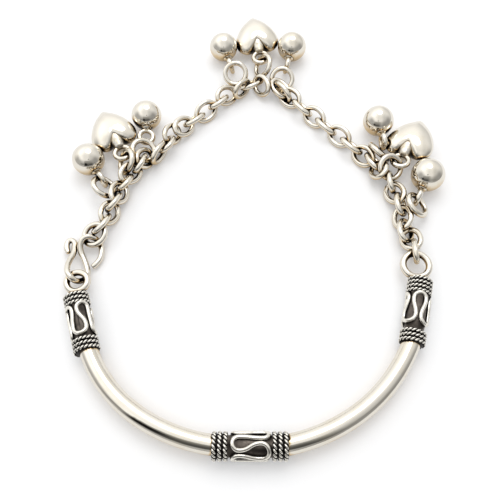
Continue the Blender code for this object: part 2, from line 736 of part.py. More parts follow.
def build_rings(poses, material):
    """Chain links, jump rings and clasp ring, each its own solid on a shared mesh."""
    shapes = {
        "link": ring_mesh(LINK_LENGTH, LINK_WIDTH, LINK_WIRE),
        "jump": ring_mesh(JUMP_DIAMETER, JUMP_DIAMETER, JUMP_WIRE),
        "clas": ring_mesh(CLASP_RING_DIAMETER, CLASP_RING_DIAMETER, CLASP_RING_WIRE, 14, 6),
    }
    patterns = {key: new_object(key, mesh, material) for key, mesh in shapes.items()}
    for name, pose in poses.items():
        if name[:4] in patterns:
            thing = bpy.data.objects.new(name, patterns[name[:4]].data)
            bpy.context.collection.objects.link(thing)
            place(thing, pose.centre, pose.turn)
    for pattern in patterns.values():
        bpy.data.objects.remove(pattern, do_unlink=True)


def build_charms(poses, material):
    """Balls and hearts in their resting places."""
    for charm in CHARMS:
        if charm.name.startswith("ball"):
            thing = build_ball(charm.name, charm.size, material)
        else:
            thing = build_heart(charm.name, material)
        place(thing, poses[charm.name].centre, poses[charm.name].turn)


def centre_on_origin():
    """Shift everything so that the plan's middle is the origin and the lowest point is z = 0."""
    bpy.context.view_layer.update()
    corners = []
    for thing in bpy.data.objects:
        corners += [thing.matrix_world @ vertex.co for vertex in thing.data.vertices]
    corners = np.array(corners)
    low, high = corners.min(axis=0), corners.max(axis=0)
    shift = Vector((-(low[0] + high[0]) / 2, -(low[1] + high[1]) / 2, -low[2]))
    for thing in bpy.data.objects:
        thing.location += shift


def main():
    """Build the bracelet."""
    clear_scene()
    silver = silver_material("Silver", SILVER, 0.18)
    oxidised = silver_material("Oxidised silver", OXIDISED_SILVER, 0.3)
    build_bangle(oxidised)
    poses = lay_out()
    new_object("s_hook", sweep(smooth_curve(HOOK_ROUTE, 1), HOOK_WIRE / 2, HOOK_SIDES), silver)
    build_rings(poses, silver)
    build_charms(poses, silver)
    centre_on_origin()


main()
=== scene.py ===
"""Charm bangle: the finished silver bracelet on a white table.

The bracelet lies flat on z = 0, fastened. +X runs from the hooked end to the other end of the bar
and +Y from the bar towards the chain. The tables are in millimetres from the point that the camera
looks at; `layout_shift` finds where that point lies in the frame.
"""
import json
from collections import namedtuple
from math import atan2, cos, pi, radians, sin, sqrt

import bpy
import numpy as np
from mathutils import Matrix, Vector, noise
from mathutils.bvhtree import BVHTree

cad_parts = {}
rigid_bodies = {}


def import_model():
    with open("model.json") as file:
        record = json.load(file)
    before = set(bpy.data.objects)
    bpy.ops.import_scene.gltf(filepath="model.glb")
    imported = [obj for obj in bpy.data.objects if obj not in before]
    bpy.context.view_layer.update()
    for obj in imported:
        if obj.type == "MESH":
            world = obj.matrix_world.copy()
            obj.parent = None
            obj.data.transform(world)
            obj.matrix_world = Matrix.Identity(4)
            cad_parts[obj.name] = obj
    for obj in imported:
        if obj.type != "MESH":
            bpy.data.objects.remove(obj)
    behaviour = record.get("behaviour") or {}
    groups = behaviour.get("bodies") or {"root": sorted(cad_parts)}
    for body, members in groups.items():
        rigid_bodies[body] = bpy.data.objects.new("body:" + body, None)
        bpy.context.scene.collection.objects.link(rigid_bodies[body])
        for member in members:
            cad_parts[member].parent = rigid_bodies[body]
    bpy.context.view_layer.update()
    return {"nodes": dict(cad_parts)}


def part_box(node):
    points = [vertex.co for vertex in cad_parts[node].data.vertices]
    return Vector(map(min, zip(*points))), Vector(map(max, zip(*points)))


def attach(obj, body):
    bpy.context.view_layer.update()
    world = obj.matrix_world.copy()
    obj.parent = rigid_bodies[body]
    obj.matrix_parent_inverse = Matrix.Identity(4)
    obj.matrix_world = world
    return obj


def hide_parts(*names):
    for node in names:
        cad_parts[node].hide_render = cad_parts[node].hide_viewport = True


bl_info = {
    "name": "Charm bangle",
    "version": (1, 0, 0),
    "blender": (4, 5, 0),
    "location": "3D View > Sidebar > Bangle",
    "description": "Builds a silver charm bangle with wirework sleeves, a cable chain and charms",
    "category": "Object",
}

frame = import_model()

MM = 0.001

# Length of the front sleeve, where its axis runs, and how far the bar runs on inside a sleeve
SLEEVE_LENGTH = 11.4
FRONT_Y = -33.95
BAR_INSIDE = 0.8

# The two ends of the bar: foot and head of the sleeve's axis, ropes beside the end ring, and the
# soldered ring with its centre, outer diameter, wire and the angle by which it is raised
End = namedtuple("End", "foot_x foot_y head_x head_y ropes ring_x ring_y ring_dia ring_wire lift")
ENDS = (
    End(-25.94, -19.7, -29.28, -9.83, 3, -29.45, -7.3, 4.5, 1.0, 0.0),
    End(26.0, -18.44, 29.1, -6.95, 4, 28.7, -4.2, 5.5, 1.06, 3.0),
)

# How the bar leaves the foot of each end sleeve and meets the front sleeve: distance and angle
# inwards, and the length of the curve's handle, at both ends. The curve is drawn in equal steps.
Arc = namedtuple("Arc", "foot_inset foot_angle foot_handle front_inset front_angle front_handle")
ARCS = (
    Arc(0.25, 6, 11.0, 0.2, 8, 5.5),
    Arc(0.15, 12, 4.5, 0.2, 12, 13.0),
)
ARC_STEPS = 72

# Stub of the bar past each end sleeve: distance from the sleeve's head, and radius
STUB = ((-0.9, 1.35), (0.0, 1.35), (0.3, 1.1), (0.55, 0.7))

# The CAD's sleeves: radius over their ropes, and how far inside the head the last rope stands out
BAND_RADIUS = 2.16
LAST_ROPE = 0.2

# Core of a sleeve: its radius at the rims and under the ropes, how far inside the sleeve's ends
# each of the two begins, the length of the slope down to the ground, and the ropes at its foot
RIM_RADIUS = 1.7
CORE_RADIUS = 1.8
RIM_INSET = 0.05
CORE_INSET = 0.12
CORE_SLOPE = 0.1
FOOT_ROPES = 3

# Distances from a sleeve's axis between which its ropes and its meander wire go from dark to bright
ROPE_RELIEF = (1.70, 2.20)
MEANDER_RELIEF = (1.51, 2.01)

# Turns of the meander wires that show, as on the part: sleeve, degrees round it from its top,
# distance along it from its middle, and how many degrees the turn spans
Turn = namedtuple("Turn", "sleeve angle reach span")
TURNS = (
    Turn(0, 55, 2.9, 58),
    Turn(0, 3, -2.3, 68),
    Turn(0, -30, 3.0, 58),
    Turn(0, -95, -2.4, 70),
    Turn(1, 55, 2.8, 54),
    Turn(1, 5, -2.6, 62),
    Turn(1, -34, 2.8, 78),
    Turn(1, -80, -2.6, 56),
    Turn(2, 92, 2.8, 60),
    Turn(2, 52, -2.5, 78),
    Turn(2, 0, 2.8, 62),
    Turn(2, -48, -2.5, 70),
    Turn(2, -105, 2.8, 58),
)
TURNS_IN_ALL = 8
HIDDEN_REACH = 2.6
HIDDEN_SPAN = 62

# Roundness of a turn, and the points along a turn and along the wire to the next one
MEANDER_BEND = 1.15
BEND_STEPS = 13
STRETCH_STEPS = 12

# Half outline of a heart from its tip to its cleft: along and across its axis
HEART_HALF = (
    (-7.1, 0.0), (-6.5, 0.95), (-4.9, 2.5), (-2.8, 3.8), (-0.6, 4.45), (1.1, 4.1), (2.05, 3.1),
    (2.2, 2.1), (1.5, 0.95), (0.1, 0.0),
)
HEART_TIP = HEART_HALF[0][0]
HEART_MIDDLE = -1.9

# Puffed sides of a heart: the oval that its outline rounds to at the top, as half length and half
# width, the powers of the puff's curve, and how near to its tops the skin is closed
HEART_OVAL = (4.4, 4.0)
PUFF_POWER = 2.4
PUFF_ROOT = 0.55
OUTLINE_POWER = 1.5
PUFF_TURN = 0.495

# How much fuller the charms are drawn than in the CAD
BALL_FULLNESS = 1.04
HEART_FULLNESS = {"heart_1": 1.0, "heart_2": 1.045, "heart_3": 1.045}

# Solder lug of a heart: distance from the cleft and radius, then wires past the eye's near side and
# radius. Its depth is a share of its width, and its roughness is in millimetres.
LUG = ((-1.3, 0.6), (-1.0, 1.1), (-0.4, 1.45), (0.3, 1.5), (1.0, 1.45), (1.6, 1.3))
LUG_AT_EYE = ((0.7, 0.95), (1.0, 0.45))
LUG_DEPTH = 1.15
LUG_GRAIN = 1.6
LUG_ROUGHNESS = 0.10

# Peg of a ball: distance from the ball's surface and share of the peg's radius, the share at its
# top, how far the top runs into the eye's wire, and the gap between ball and eye
PEG = ((-0.4, 1.5), (0.0, 1.35), (0.12, 1.0))
PEG_TOP = 0.85
PEG_BITE = 0.6
BALL_EYE_GAP = 0.1

# Collar of solder on a ball: height and spread in radians; the skin closes this near its poles
COLLAR_HEIGHT = 0.10
COLLAR_SPREAD = 0.30
POLE_ANGLE = 0.02

# Reading a ball from its CAD node: what lies further than this from its middle is an end, what
# lies this near its surface belongs to it, what lies this far outside is its eye, and the fit is
# repeated this often
BALL_END = 1.0
BALL_SKIN = 0.25
EYE_CLEAR = 0.5
BALL_FITS = 6

# Centre line of the S-hook, from its curled end through the end ring and the clasp ring
HOOK_ROUTE = (
    (-32.1, -1.3, 1.2), (-32.6, -0.2, 1.2), (-32.6, 0.8, 1.2), (-32.1, 1.3, 1.2),
    (-31.4, 0.9, 1.2), (-31.1, -0.2, 1.3), (-31.1, -1.6, 1.6), (-31.3, -3.1, 2.2),
    (-31.3, -4.7, 2.9), (-30.9, -6.1, 3.35), (-30.2, -7.0, 3.2), (-29.6, -7.2, 2.4),
    (-29.0, -6.8, 1.5), (-28.5, -6.1, 1.05), (-28.3, -5.1, 0.95), (-28.6, -3.9, 0.95),
    (-29.2, -2.5, 1.1), (-29.8, -1.3, 1.4), (-30.0, -0.2, 1.9), (-29.7, 0.8, 2.35),
    (-28.9, 1.4, 2.4), (-27.9, 1.5, 1.9), (-27.1, 1.1, 1.15), (-26.6, 0.1, 0.8),
    (-26.4, -1.1, 0.75), (-26.6, -2.3, 0.75), (-27.1, -3.2, 0.75), (-27.7, -3.8, 0.75),
)

# Ends of the hook: share of the wire's radius where the taper starts, gain over the whole hook, and
# share at the very tips
TAPER_START = 0.78
TAPER_GAIN = 9
TIP_SHARE = 0.5

# Tarnish and painted shade: rays from each point, the angle between them in radians, how far off the
# metal they start in metres, and the share of their reach on the sleeves; metal that they meet nearby
# paints tarnish and shade. What faces the table gets painted shade below this upward part of its
# normal, this fast and at most this much.
RAYS = 10
GOLDEN_ANGLE = 2.39996
RAY_LIFT = 0.00003
SLEEVE_REACH = 0.3
UNDER_FROM = 0.6
UNDER_GAIN = 0.42
UNDER_MOST = 0.3

# White tent: brightness at the foot of a wall, gain upwards, and the heights in degrees between
# which it gains; then the shares of a direction between which front turns to back, left glows and
# right dims, with the heights of the glow and the strength of both
Wall = namedtuple("Wall", "foot gain low high")
BACK_WALL = Wall(1.15, 0.35, 2.0, 45.0)
FRONT_WALL = Wall(0.55, 0.55, 22.0, 52.0)
FRONT_TO_BACK = (-0.25, 0.4)
LEFT_GLOW = (0.15, 0.6)
LEFT_HEIGHTS = (25.0, 50.0)
LEFT_GAIN = 0.3
RIGHT_DIM = (0.12, 0.55)
RIGHT_LOSS = 0.27

# Dark front opening of the tent, in millimetres across and up: its place, the middle and soft edge
# of its darkest spot, the soft edges of the opening, and height, soft edge and ends of a grey seam
OPENING_Y = -62
OPENING_HALF = 120
OPENING_LOW = 8
OPENING_HIGH = 76
SPOT = (-39.0, 26.0)
SPOT_EDGE = (6.0, 17.0)
LEFT_EDGE = (-58.0, -46.0)
RIGHT_EDGE = (14.0, 50.0)
LOWER_EDGE = (9.0, 14.0)
UPPER_EDGE = (60.0, 74.0)
SEAM_HEIGHT = 27.0
SEAM_EDGE = (4.0, 13.0)
SEAM_ENDS = (75.0, 115.0)

# Table, key light and camera, in metres. The lens's dark front has a radius in millimetres and
# stands just behind the camera, at a share of the camera's distance.
TABLE_HALF = 0.6
TABLE_DROP = 0.00002
KEY_PLACE = (0.03, 0.19, 0.38)
KEY_SIZE = 0.25
NEAREST = 0.001
LENS_RADIUS = 7.5
LENS_BEHIND = 1.02

LINK_NODES = ["link_%02d" % number for number in range(1, 38)]
CHARMS = ("ball_1", "heart_1", "ball_2", "ball_3", "heart_2", "ball_4", "ball_5", "heart_3", "ball_6")


def length(name, description, millimetres):
    """A size that a user may change, given in millimetres and kept in metres."""
    return bpy.props.FloatProperty(name=name, description=description, default=millimetres * MM,
                                   min=0.0, precision=5, subtype="DISTANCE")


def tint(name, description, colour):
    """A colour that a user may change."""
    return bpy.props.FloatVectorProperty(name=name, description=description, default=colour,
                                         min=0.0, max=1.0, size=3, subtype="COLOR")


def number(name, description, default):
    """A plain number that a user may change."""
    return bpy.props.FloatProperty(name=name, description=description, default=default)


class BarSizes(bpy.types.PropertyGroup):
    """Sizes of the bar and of the wirework on its sleeves."""

    bar_radius: length("Bar radius", "Half the bar's thickness at its end sleeves", 1.5)
    front_radius: length("Front radius", "Half the bar's thickness at its front sleeve", 1.55)
    axis_height: length("Axis height", "Height of the bar's axis above the table", 2.17)
    ground_radius: length("Ground radius", "Plain part of a sleeve, under the meander wire", 1.6)
    rope_pitch: length("Rope pitch", "Distance from one rope wire to the next on the end sleeves", 0.77)
    front_pitch: length("Front rope pitch", "The same distance on the front sleeve", 0.83)
    rope_ring: length("Rope ring radius", "Radius at which a rope wire's middle runs", 1.84)
    strand_radius: length("Strand radius", "Half the thickness of one strand of a rope", 0.175)
    strand_offset: length("Strand offset", "Distance of a strand from its rope's middle", 0.17)
    rope_twists: bpy.props.IntProperty(name="Rope twists", default=9, min=1,
                                       description="Full twists of a rope in one turn")
    meander_wire: length("Meander wire", "Thickness of the meander wire", 0.66)
    meander_radius: length("Meander radius", "Radius at which the meander wire's middle runs", 1.85)


class ChainSizes(bpy.types.PropertyGroup):
    """Sizes of the links, rings and hook."""

    link_length: length("Link length", "Outer length of a chain link", 5.5)
    link_width: length("Link width", "Outer width of a chain link", 4.1)
    link_wire: length("Link wire", "Thickness of a link's wire", 0.88)
    jump_diameter: length("Jump ring", "Outer diameter of a charm's jump ring", 5.25)
    jump_wire: length("Jump ring wire", "Thickness of a jump ring's wire", 0.9)
    clasp_diameter: length("Clasp ring", "Outer diameter of the ring that the hook fastens to", 4.9)
    clasp_wire: length("Clasp ring wire", "Thickness of the clasp ring's wire", 0.88)
    hook_wire: length("Hook wire", "Thickness of the S-hook's wire", 0.9)
    swell: length("Wire swell", "How much thicker wires are drawn, to fill the air between them", 0.12)


class CharmSizes(bpy.types.PropertyGroup):
    """Sizes of the charms and of their eyes."""

    peg_radius: length("Peg radius", "Half the thickness of the peg between ball and eye", 0.68)
    largest_ball: length("Largest ball", "Diameter that no ball exceeds", 6.25)
    ball_eye: length("Ball eye", "Outer diameter of a ball's eye", 3.5)
    heart_eye: length("Heart eye", "Outer diameter of a heart's eye", 3.8)
    heart_reach: length("Heart reach", "Distance from a heart's cleft to its eye's middle", 4.1)
    heart_thickness: length("Heart thickness", "Thickness of a heart at its middle", 4.7)
    eye_wire: length("Eye wire", "Thickness of the eyes' wire", 0.84)


class Finishes(bpy.types.PropertyGroup):
    """Colours of the metal."""

    silver: tint("Silver", "Polished silver", (0.75, 0.71, 0.63))
    polish: tint("Worn tops", "Silver rubbed bright on the tops of the wirework",
                 (0.78, 0.75, 0.68))
    warm_silver: tint("Warm silver", "Polished silver where it has begun to tarnish",
                      (0.70, 0.63, 0.50))
    # Brown of tarnish and painted shade, with painted warm reflections, where metal lies close to metal
    # and where it faces the table
    brown_tarnish_and_shade: tint("Brown", "Tarnish where metal lies close to metal", (0.60, 0.44, 0.24))
    # Near-black of oxide in the sleeves' recesses and of painted shade in tight gaps between metal
    oxide_and_shade: tint("Oxide and shade", "Darkened silver in the recesses", (0.012, 0.010, 0.009))
    ground: tint("Ground", "Darkened ground of the sleeves", (0.155, 0.132, 0.112))
    solder: tint("Solder", "Dull solder at the hearts' lugs", (0.66, 0.64, 0.60))
    gloss: number("Roughness", "Roughness of the polished metal", 0.055)
    # Reach within which other metal paints tarnish and shade
    tarnish_and_shade_reach: length("Tarnish reach", "How near other metal must be to leave tarnish", 1.9)


class StageSettings(bpy.types.PropertyGroup):
    """Table, light and camera."""

    floor: tint("Table", "Colour of the table", (0.715, 0.717, 0.722))
    bounce: number("Bounce", "Light that the table gives off, as bounced from the tent", 0.22)
    tent: number("Tent strength", "Brightness of the white tent", 0.95)
    key: number("Key strength", "Power of the soft light behind the bracelet, in watts", 0.36)
    lens: number("Lens", "Focal length of the camera in millimetres", 39.6)
    elevation: number("Elevation", "Angle of the camera above the table, in degrees", 62.0)
    distance: length("Distance", "Distance of the camera from the point it looks at", 99.0)


class Value:
    """A number socket on which Python's operators add Math nodes."""

    def __init__(self, tree, socket):
        self.tree = tree
        self.socket = socket

    def math(self, operation, *others):
        """A Math node on this number and the others."""
        inputs = dict(enumerate((self, *others)))
        return self.tree.value("ShaderNodeMath", inputs, operation=operation)

    def __add__(self, other):
        return self.math("ADD", other)

    __radd__ = __add__

    def __sub__(self, other):
        return self.math("SUBTRACT", other)

    def __rsub__(self, other):
        return self.tree.value("ShaderNodeMath", {0: other, 1: self}, operation="SUBTRACT")

    def __mul__(self, other):
        return self.math("MULTIPLY", other)

    __rmul__ = __mul__

    def __truediv__(self, other):
        return self.math("DIVIDE", other)

    def __pow__(self, other):
        return self.math("POWER", other)

    def sin(self):
        return self.math("SINE")

    def cos(self):
        return self.math("COSINE")

    def ramp(self, low, high):
        """0 below low and 1 above high, with a soft change between."""
        inputs = {"Value": self, "From Min": low, "From Max": high}
        return self.tree.value("ShaderNodeMapRange", inputs, "Result",
                               interpolation_type="SMOOTHSTEP")


class Tree:
    """A node tree with short ways of adding nodes."""

    def __init__(self, nodes):
        self.nodes = nodes

    def feed(self, socket, value):
        """Link a node or a number to an input, or set the input to a plain value."""
        if isinstance(value, Value):
            value = value.socket
        elif isinstance(value, bpy.types.Node):
            value = value.outputs[0]
        if isinstance(value, bpy.types.NodeSocket):
            self.nodes.links.new(value, socket)
        else:
            socket.default_value = value

    def node(self, kind, inputs=None, **settings):
        """Add a node: its settings first, then a value or a link for each input."""
        made = self.nodes.nodes.new(kind)
        for key, value in settings.items():
            setattr(made, key, value)
        for key, value in (inputs or {}).items():
            self.feed(made.inputs[key], value)
        return made

    def value(self, kind, inputs=None, output=0, **settings):
        """The same, as a number to calculate with."""
        return Value(self, self.node(kind, inputs, **settings).outputs[output])

    def stored(self, name):
        """A number that the mesh keeps for its points."""
        return self.value("ShaderNodeAttribute", output="Fac", attribute_name=name)

    def noise(self, place, scale, detail):
        """Smooth noise between 0 and 1 at a number of waves to the metre."""
        return self.value("ShaderNodeTexNoise", {"Vector": place, "Scale": scale, "Detail": detail})

    def mix(self, factor, first, second):
        """A colour between two colours."""
        inputs = {0: factor, 6: opaque(first), 7: opaque(second)}
        return self.node("ShaderNodeMix", inputs, data_type="RGBA").outputs[2]

    def vector(self, x, y, z):
        """A vector of three numbers."""
        return self.node("ShaderNodeCombineXYZ", {0: x, 1: y, 2: z})

    def split(self, vector):
        """The three numbers of a vector."""
        return [Value(self, part) for part in self.node("ShaderNodeSeparateXYZ", {0: vector}).outputs]

    def circle(self, steps, radius):
        """A circle as a curve."""
        return self.node("GeometryNodeCurvePrimitiveCircle", {"Resolution": steps, "Radius": radius})


def opaque(colour):
    """A plain colour with its alpha, or a link as it is."""
    if isinstance(colour, bpy.types.NodeSocket):
        return colour
    return (*colour[:3], 1.0)


def finish(name):
    """A new material as its node tree, its shader and the piece's own coordinates."""
    material = bpy.data.materials.new(name)
    material.use_nodes = True
    tree = Tree(material.node_tree)
    shader = material.node_tree.nodes["Principled BSDF"]
    place = tree.node("ShaderNodeTexCoord").outputs["Object"]
    return material, tree, shader, place


def connect(tree, shader, **inputs):
    """Link or set the shader's inputs by name, with _ for a space."""
    for key, value in inputs.items():
        tree.feed(shader.inputs[key.replace("_", " ")], value)


def bump(tree, height, distance, strength):
    """Normal of a surface with this relief, in metres."""
    inputs = {"Height": height, "Distance": distance, "Strength": strength}
    return tree.node("ShaderNodeBump", inputs).outputs["Normal"]


def polished_silver(finishes):
    """Silver worn smooth: faint tarnish, fine hairlines and a slight hand-made waviness; brown and then
    black tarnish and painted shade where metal lies close to metal and where it faces the table.
    """
    material, tree, shader, place = finish("Polished silver")
    hidden = tree.stored("tarnish_and_shade")
    patches = tree.noise(place, 330.0, 3.0).ramp(0.42, 0.75)
    hairs = tree.noise(place, 9000.0, 2.0)
    waves = tree.noise(place, 750.0, 1.0)
    worn = tree.mix(patches * 0.45, finishes.silver, finishes.warm_silver)
    # Tarnish and painted shade: brown, then near-black in tight gaps, from the occlusion attribute
    brown_tarnish_and_shade = tree.mix((hidden + (patches - 0.5) * 0.08).ramp(0.08, 0.32), worn, finishes.brown_tarnish_and_shade)
    connect(tree, shader,
            Base_Color=tree.mix(hidden.ramp(0.28, 0.52), brown_tarnish_and_shade, finishes.oxide_and_shade),
            Metallic=1.0,
            Roughness=finishes.gloss + patches * 0.03 + hairs * 0.02 + hidden * 0.12,
            Normal=bump(tree, waves + hairs * 0.02, 0.00003, 0.5))
    return material


def sleeve_silver(finishes):
    """Silver that is bright on its heights and dark with oxide in its recesses, with painted shade
    where other metal lies close.
    """
    material, tree, shader, place = finish("Oxidised silver")
    relief = tree.stored("relief")
    wear = tree.noise(place, 2600.0, 3.0)
    hidden = tree.stored("tarnish_and_shade")
    # Oxide by relief, and painted shade where other metal lies close
    bright = (relief - hidden * 0.7 + (wear - 0.5) * 0.1).ramp(0.50, 0.66)
    connect(tree, shader,
            Base_Color=tree.mix(bright, finishes.oxide_and_shade, finishes.polish),
            Metallic=0.95,
            Roughness=0.42 - bright * 0.3 + wear * 0.04,
            Normal=bump(tree, wear, 0.00003, 0.6))
    return material


def sleeve_ground(finishes):
    """Darkened, brushed ground under the meander wire, with oxide and painted shade near the wires."""
    material, tree, shader, place = finish("Sleeve ground")
    grain = tree.noise(place, 5200.0, 4.0)
    patches = tree.noise(place, 900.0, 2.0).ramp(0.3, 0.7)
    hidden = tree.stored("tarnish_and_shade")
    brushed = tree.mix(patches, finishes.ground, tuple(part * 0.5 for part in finishes.ground))
    # Oxide and painted shade where the wires lie close, from the occlusion attribute
    connect(tree, shader,
            Base_Color=tree.mix(hidden.ramp(0.12, 0.45), brushed, finishes.oxide_and_shade),
            Metallic=0.8,
            Roughness=0.34 + grain * 0.16,
            Normal=bump(tree, grain, 0.00005, 0.8))
    return material


def solder_finish(finishes):
    """Dull, pitted solder."""
    material, tree, shader, place = finish("Solder")
    pits = tree.noise(place, 2400.0, 3.0)
    patches = tree.noise(place, 800.0, 2.0).ramp(0.35, 0.65)
    connect(tree, shader,
            Base_Color=tree.mix(patches, finishes.solder, finishes.warm_silver),
            Metallic=1.0,
            Roughness=0.26 + pits * 0.14,
            Normal=bump(tree, pits, 0.00012, 0.8))
    return material


def table_finish(settings):
    """Matt white card that glows faintly with painted bounce light, which lightens its shadows."""
    material, tree, shader, place = finish("White table")
    fibres = tree.noise(place, 1800.0, 3.0)
    shade = tuple(channel * 0.985 for channel in settings.floor)
    connect(tree, shader,
            Base_Color=tree.mix(fibres, settings.floor, shade),
            Roughness=0.75 + fibres * 0.1,
            Emission_Color=(1.0, 1.0, 1.0, 1.0),
            Emission_Strength=settings.bounce,
            Normal=bump(tree, fibres, 0.00001, 0.3))
    return material


def material_named(name, maker):
    """A material that is made once and then shared."""
    return bpy.data.materials.get(name) or maker(bpy.context.scene.bangle_finishes)


def silver():
    return material_named("Polished silver", polished_silver)


def oxidised():
    return material_named("Oxidised silver", sleeve_silver)


def ground():
    return material_named("Sleeve ground", sleeve_ground)


def solder():
    return material_named("Solder", solder_finish)


def geometry_tree(name, **sizes):
    """A Geometry Nodes tree with named number inputs and a material, and its input node."""
    group = bpy.data.node_groups.new(name, "GeometryNodeTree")
    for way in ("INPUT", "OUTPUT"):
        group.interface.new_socket("Geometry", in_out=way, socket_type="NodeSocketGeometry")
    for key, default in sizes.items():
        kind = "NodeSocketInt" if isinstance(default, int) else "NodeSocketFloat"
        item = group.interface.new_socket(key, in_out="INPUT", socket_type=kind)
        item.default_value = default
    group.interface.new_socket("Material", in_out="INPUT", socket_type="NodeSocketMaterial")
    tree = Tree(group)
    return tree, tree.node("NodeGroupInput").outputs


def close_tree(tree, geometry, material):
    """End a tree: instances made real, smooth faces and the material."""
    real = tree.node("GeometryNodeRealizeInstances", {"Geometry": geometry})
    smooth = tree.node("GeometryNodeSetShadeSmooth", {"Geometry": real})
    painted = tree.node("GeometryNodeSetMaterial", {"Geometry": smooth, "Material": material})
    tree.node("NodeGroupOutput", {"Geometry": painted})
    return tree.nodes


def wire_tree():
    """Tube of round wire along a line of points that hold its radius."""
    tree, given = geometry_tree("Wire along a path", Sides=20)
    curve = tree.node("GeometryNodeMeshToCurve", {"Mesh": given["Geometry"]})
    radius = tree.node("GeometryNodeInputNamedAttribute", {"Name": "wire_radius"},
                       data_type="FLOAT").outputs["Attribute"]
    skin = tree.node("GeometryNodeCurveToMesh", {
        "Curve": curve, "Profile Curve": tree.circle(given["Sides"], 1.0), "Scale": radius,
        "Fill Caps": True})
    return close_tree(tree, skin, given["Material"])


def rope_tree():
    """Band of twisted rope wires round the Z axis, each of two strands."""
    tree, given = geometry_tree("Rope band", Ropes=3, Pitch=0.00077, Ring=0.0018, Strand=0.0002,
                                Offset=0.0002, Twists=9.0, Steps=144, Sides=8)
    keys = ("Steps", "Twists", "Offset", "Ring")
    steps, twists, offset, ring = (Value(tree, given[key]) for key in keys)
    around = tree.value("GeometryNodeInputIndex") / steps * (2 * pi)
    profile = tree.circle(given["Sides"], given["Strand"])
    strands = tree.node("GeometryNodeJoinGeometry")
    for phase in (0.0, pi):
        twist = around * twists + phase
        radius = ring + twist.cos() * offset
        place = tree.vector(around.cos() * radius, around.sin() * radius, twist.sin() * offset)
        bent = tree.node("GeometryNodeSetPosition", {
            "Geometry": tree.circle(given["Steps"], 1.0), "Position": place})
        strand = tree.node("GeometryNodeCurveToMesh", {"Curve": bent, "Profile Curve": profile})
        tree.feed(strands.inputs[0], strand)
    step = tree.vector(0.0, 0.0, given["Pitch"])
    rows = tree.node("GeometryNodeMeshLine", {"Count": given["Ropes"], "Offset": step})
    band = tree.node("GeometryNodeInstanceOnPoints", {"Points": rows, "Instance": strands})
    return close_tree(tree, band, given["Material"])


def ring_tree():
    """Oval rings of round wire, one at each point, turned by the point's own turn."""
    tree, given = geometry_tree("Rings", Length=0.0055, Width=0.0041, Wire=0.0009, Steps=40,
                                Sides=14)
    wire = Value(tree, given["Wire"])
    long, wide = ((Value(tree, given[key]) - wire) * 0.5 for key in ("Length", "Width"))
    oval = tree.node("GeometryNodeTransform", {
        "Geometry": tree.circle(given["Steps"], 1.0), "Scale": tree.vector(long, wide, 1.0)})
    profile = tree.circle(given["Sides"], wire * 0.5)
    ring = tree.node("GeometryNodeCurveToMesh", {"Curve": oval, "Profile Curve": profile})
    turn = tree.node("GeometryNodeInputNamedAttribute", {"Name": "turn"},
                     data_type="FLOAT_VECTOR").outputs["Attribute"]
    rotation = tree.node("FunctionNodeEulerToRotation", {0: turn})
    rings = tree.node("GeometryNodeInstanceOnPoints", {
        "Points": given["Geometry"], "Instance": ring, "Rotation": rotation})
    return close_tree(tree, rings, given["Material"])


TREES = {"Wire along a path": wire_tree, "Rope band": rope_tree, "Rings": ring_tree}


def placed(name, data):
    """A new object in the scene."""
    thing = bpy.data.objects.new(name, data)
    bpy.context.scene.collection.objects.link(thing)
    return thing


def grow(source, tree_name, **values):
    """The plain mesh that a Geometry Nodes tree makes of a source mesh."""
    group = bpy.data.node_groups.get(tree_name) or TREES[tree_name]()
    thing = placed("source", source)
    modifier = thing.modifiers.new("Nodes", "NODES")
    modifier.node_group = group
    for item in group.interface.items_tree:
        if item.in_out == "INPUT" and item.name in values:
            modifier[item.identifier] = values[item.name]
    bpy.context.view_layer.update()
    graph = bpy.context.evaluated_depsgraph_get()
    mesh = bpy.data.meshes.new_from_object(thing.evaluated_get(graph), depsgraph=graph)
    bpy.data.objects.remove(thing, do_unlink=True)
    face_outwards(mesh)
    return mesh


def face_outwards(mesh):
    """Turn a closed mesh right side out."""
    mesh.calc_loop_triangles()
    corners = np.array([mesh.vertices[k].co for t in mesh.loop_triangles for k in t.vertices])
    a, b, c = corners.reshape(-1, 3, 3).transpose(1, 0, 2)
    if np.einsum("ij,ij->i", a, np.cross(b, c)).sum() < 0:
        mesh.flip_normals()


def store(mesh, name, values, kind="FLOAT", key="value"):
    """Keep a value for each point of a mesh."""
    layer = mesh.attributes.new(name, kind, "POINT")
    layer.data.foreach_set(key, values)


def tube(points, radii, material, sides, closed=False):
    """Mesh of a round wire along points in millimetres."""
    count = len(points)
    edges = [(k, k + 1) for k in range(count - 1)]
    if closed:
        edges.append((count - 1, 0))
    path = bpy.data.meshes.new("path")
    path.from_pydata((np.asarray(points, float) * MM).tolist(), edges, [])
    store(path, "wire_radius", np.broadcast_to(np.asarray(radii, float), (count,)) * MM)
    return grow(path, "Wire along a path", Material=material, Sides=sides)


def join(meshes):
    """One mesh from several, each keeping its material."""
    whole = bpy.data.meshes.new("joined")
    points, faces, slots, materials = [], [], [], []
    for mesh in meshes:
        start = len(points)
        points += [vertex.co[:] for vertex in mesh.vertices]
        faces += [[start + k for k in polygon.vertices] for polygon in mesh.polygons]
        for polygon in mesh.polygons:
            material = mesh.materials[polygon.material_index]
            if material not in materials:
                materials.append(material)
            slots.append(materials.index(material))
    whole.from_pydata(points, [], faces)
    for material in materials:
        whole.materials.append(material)
    whole.polygons.foreach_set("material_index", slots)
    whole.shade_smooth()
    return whole


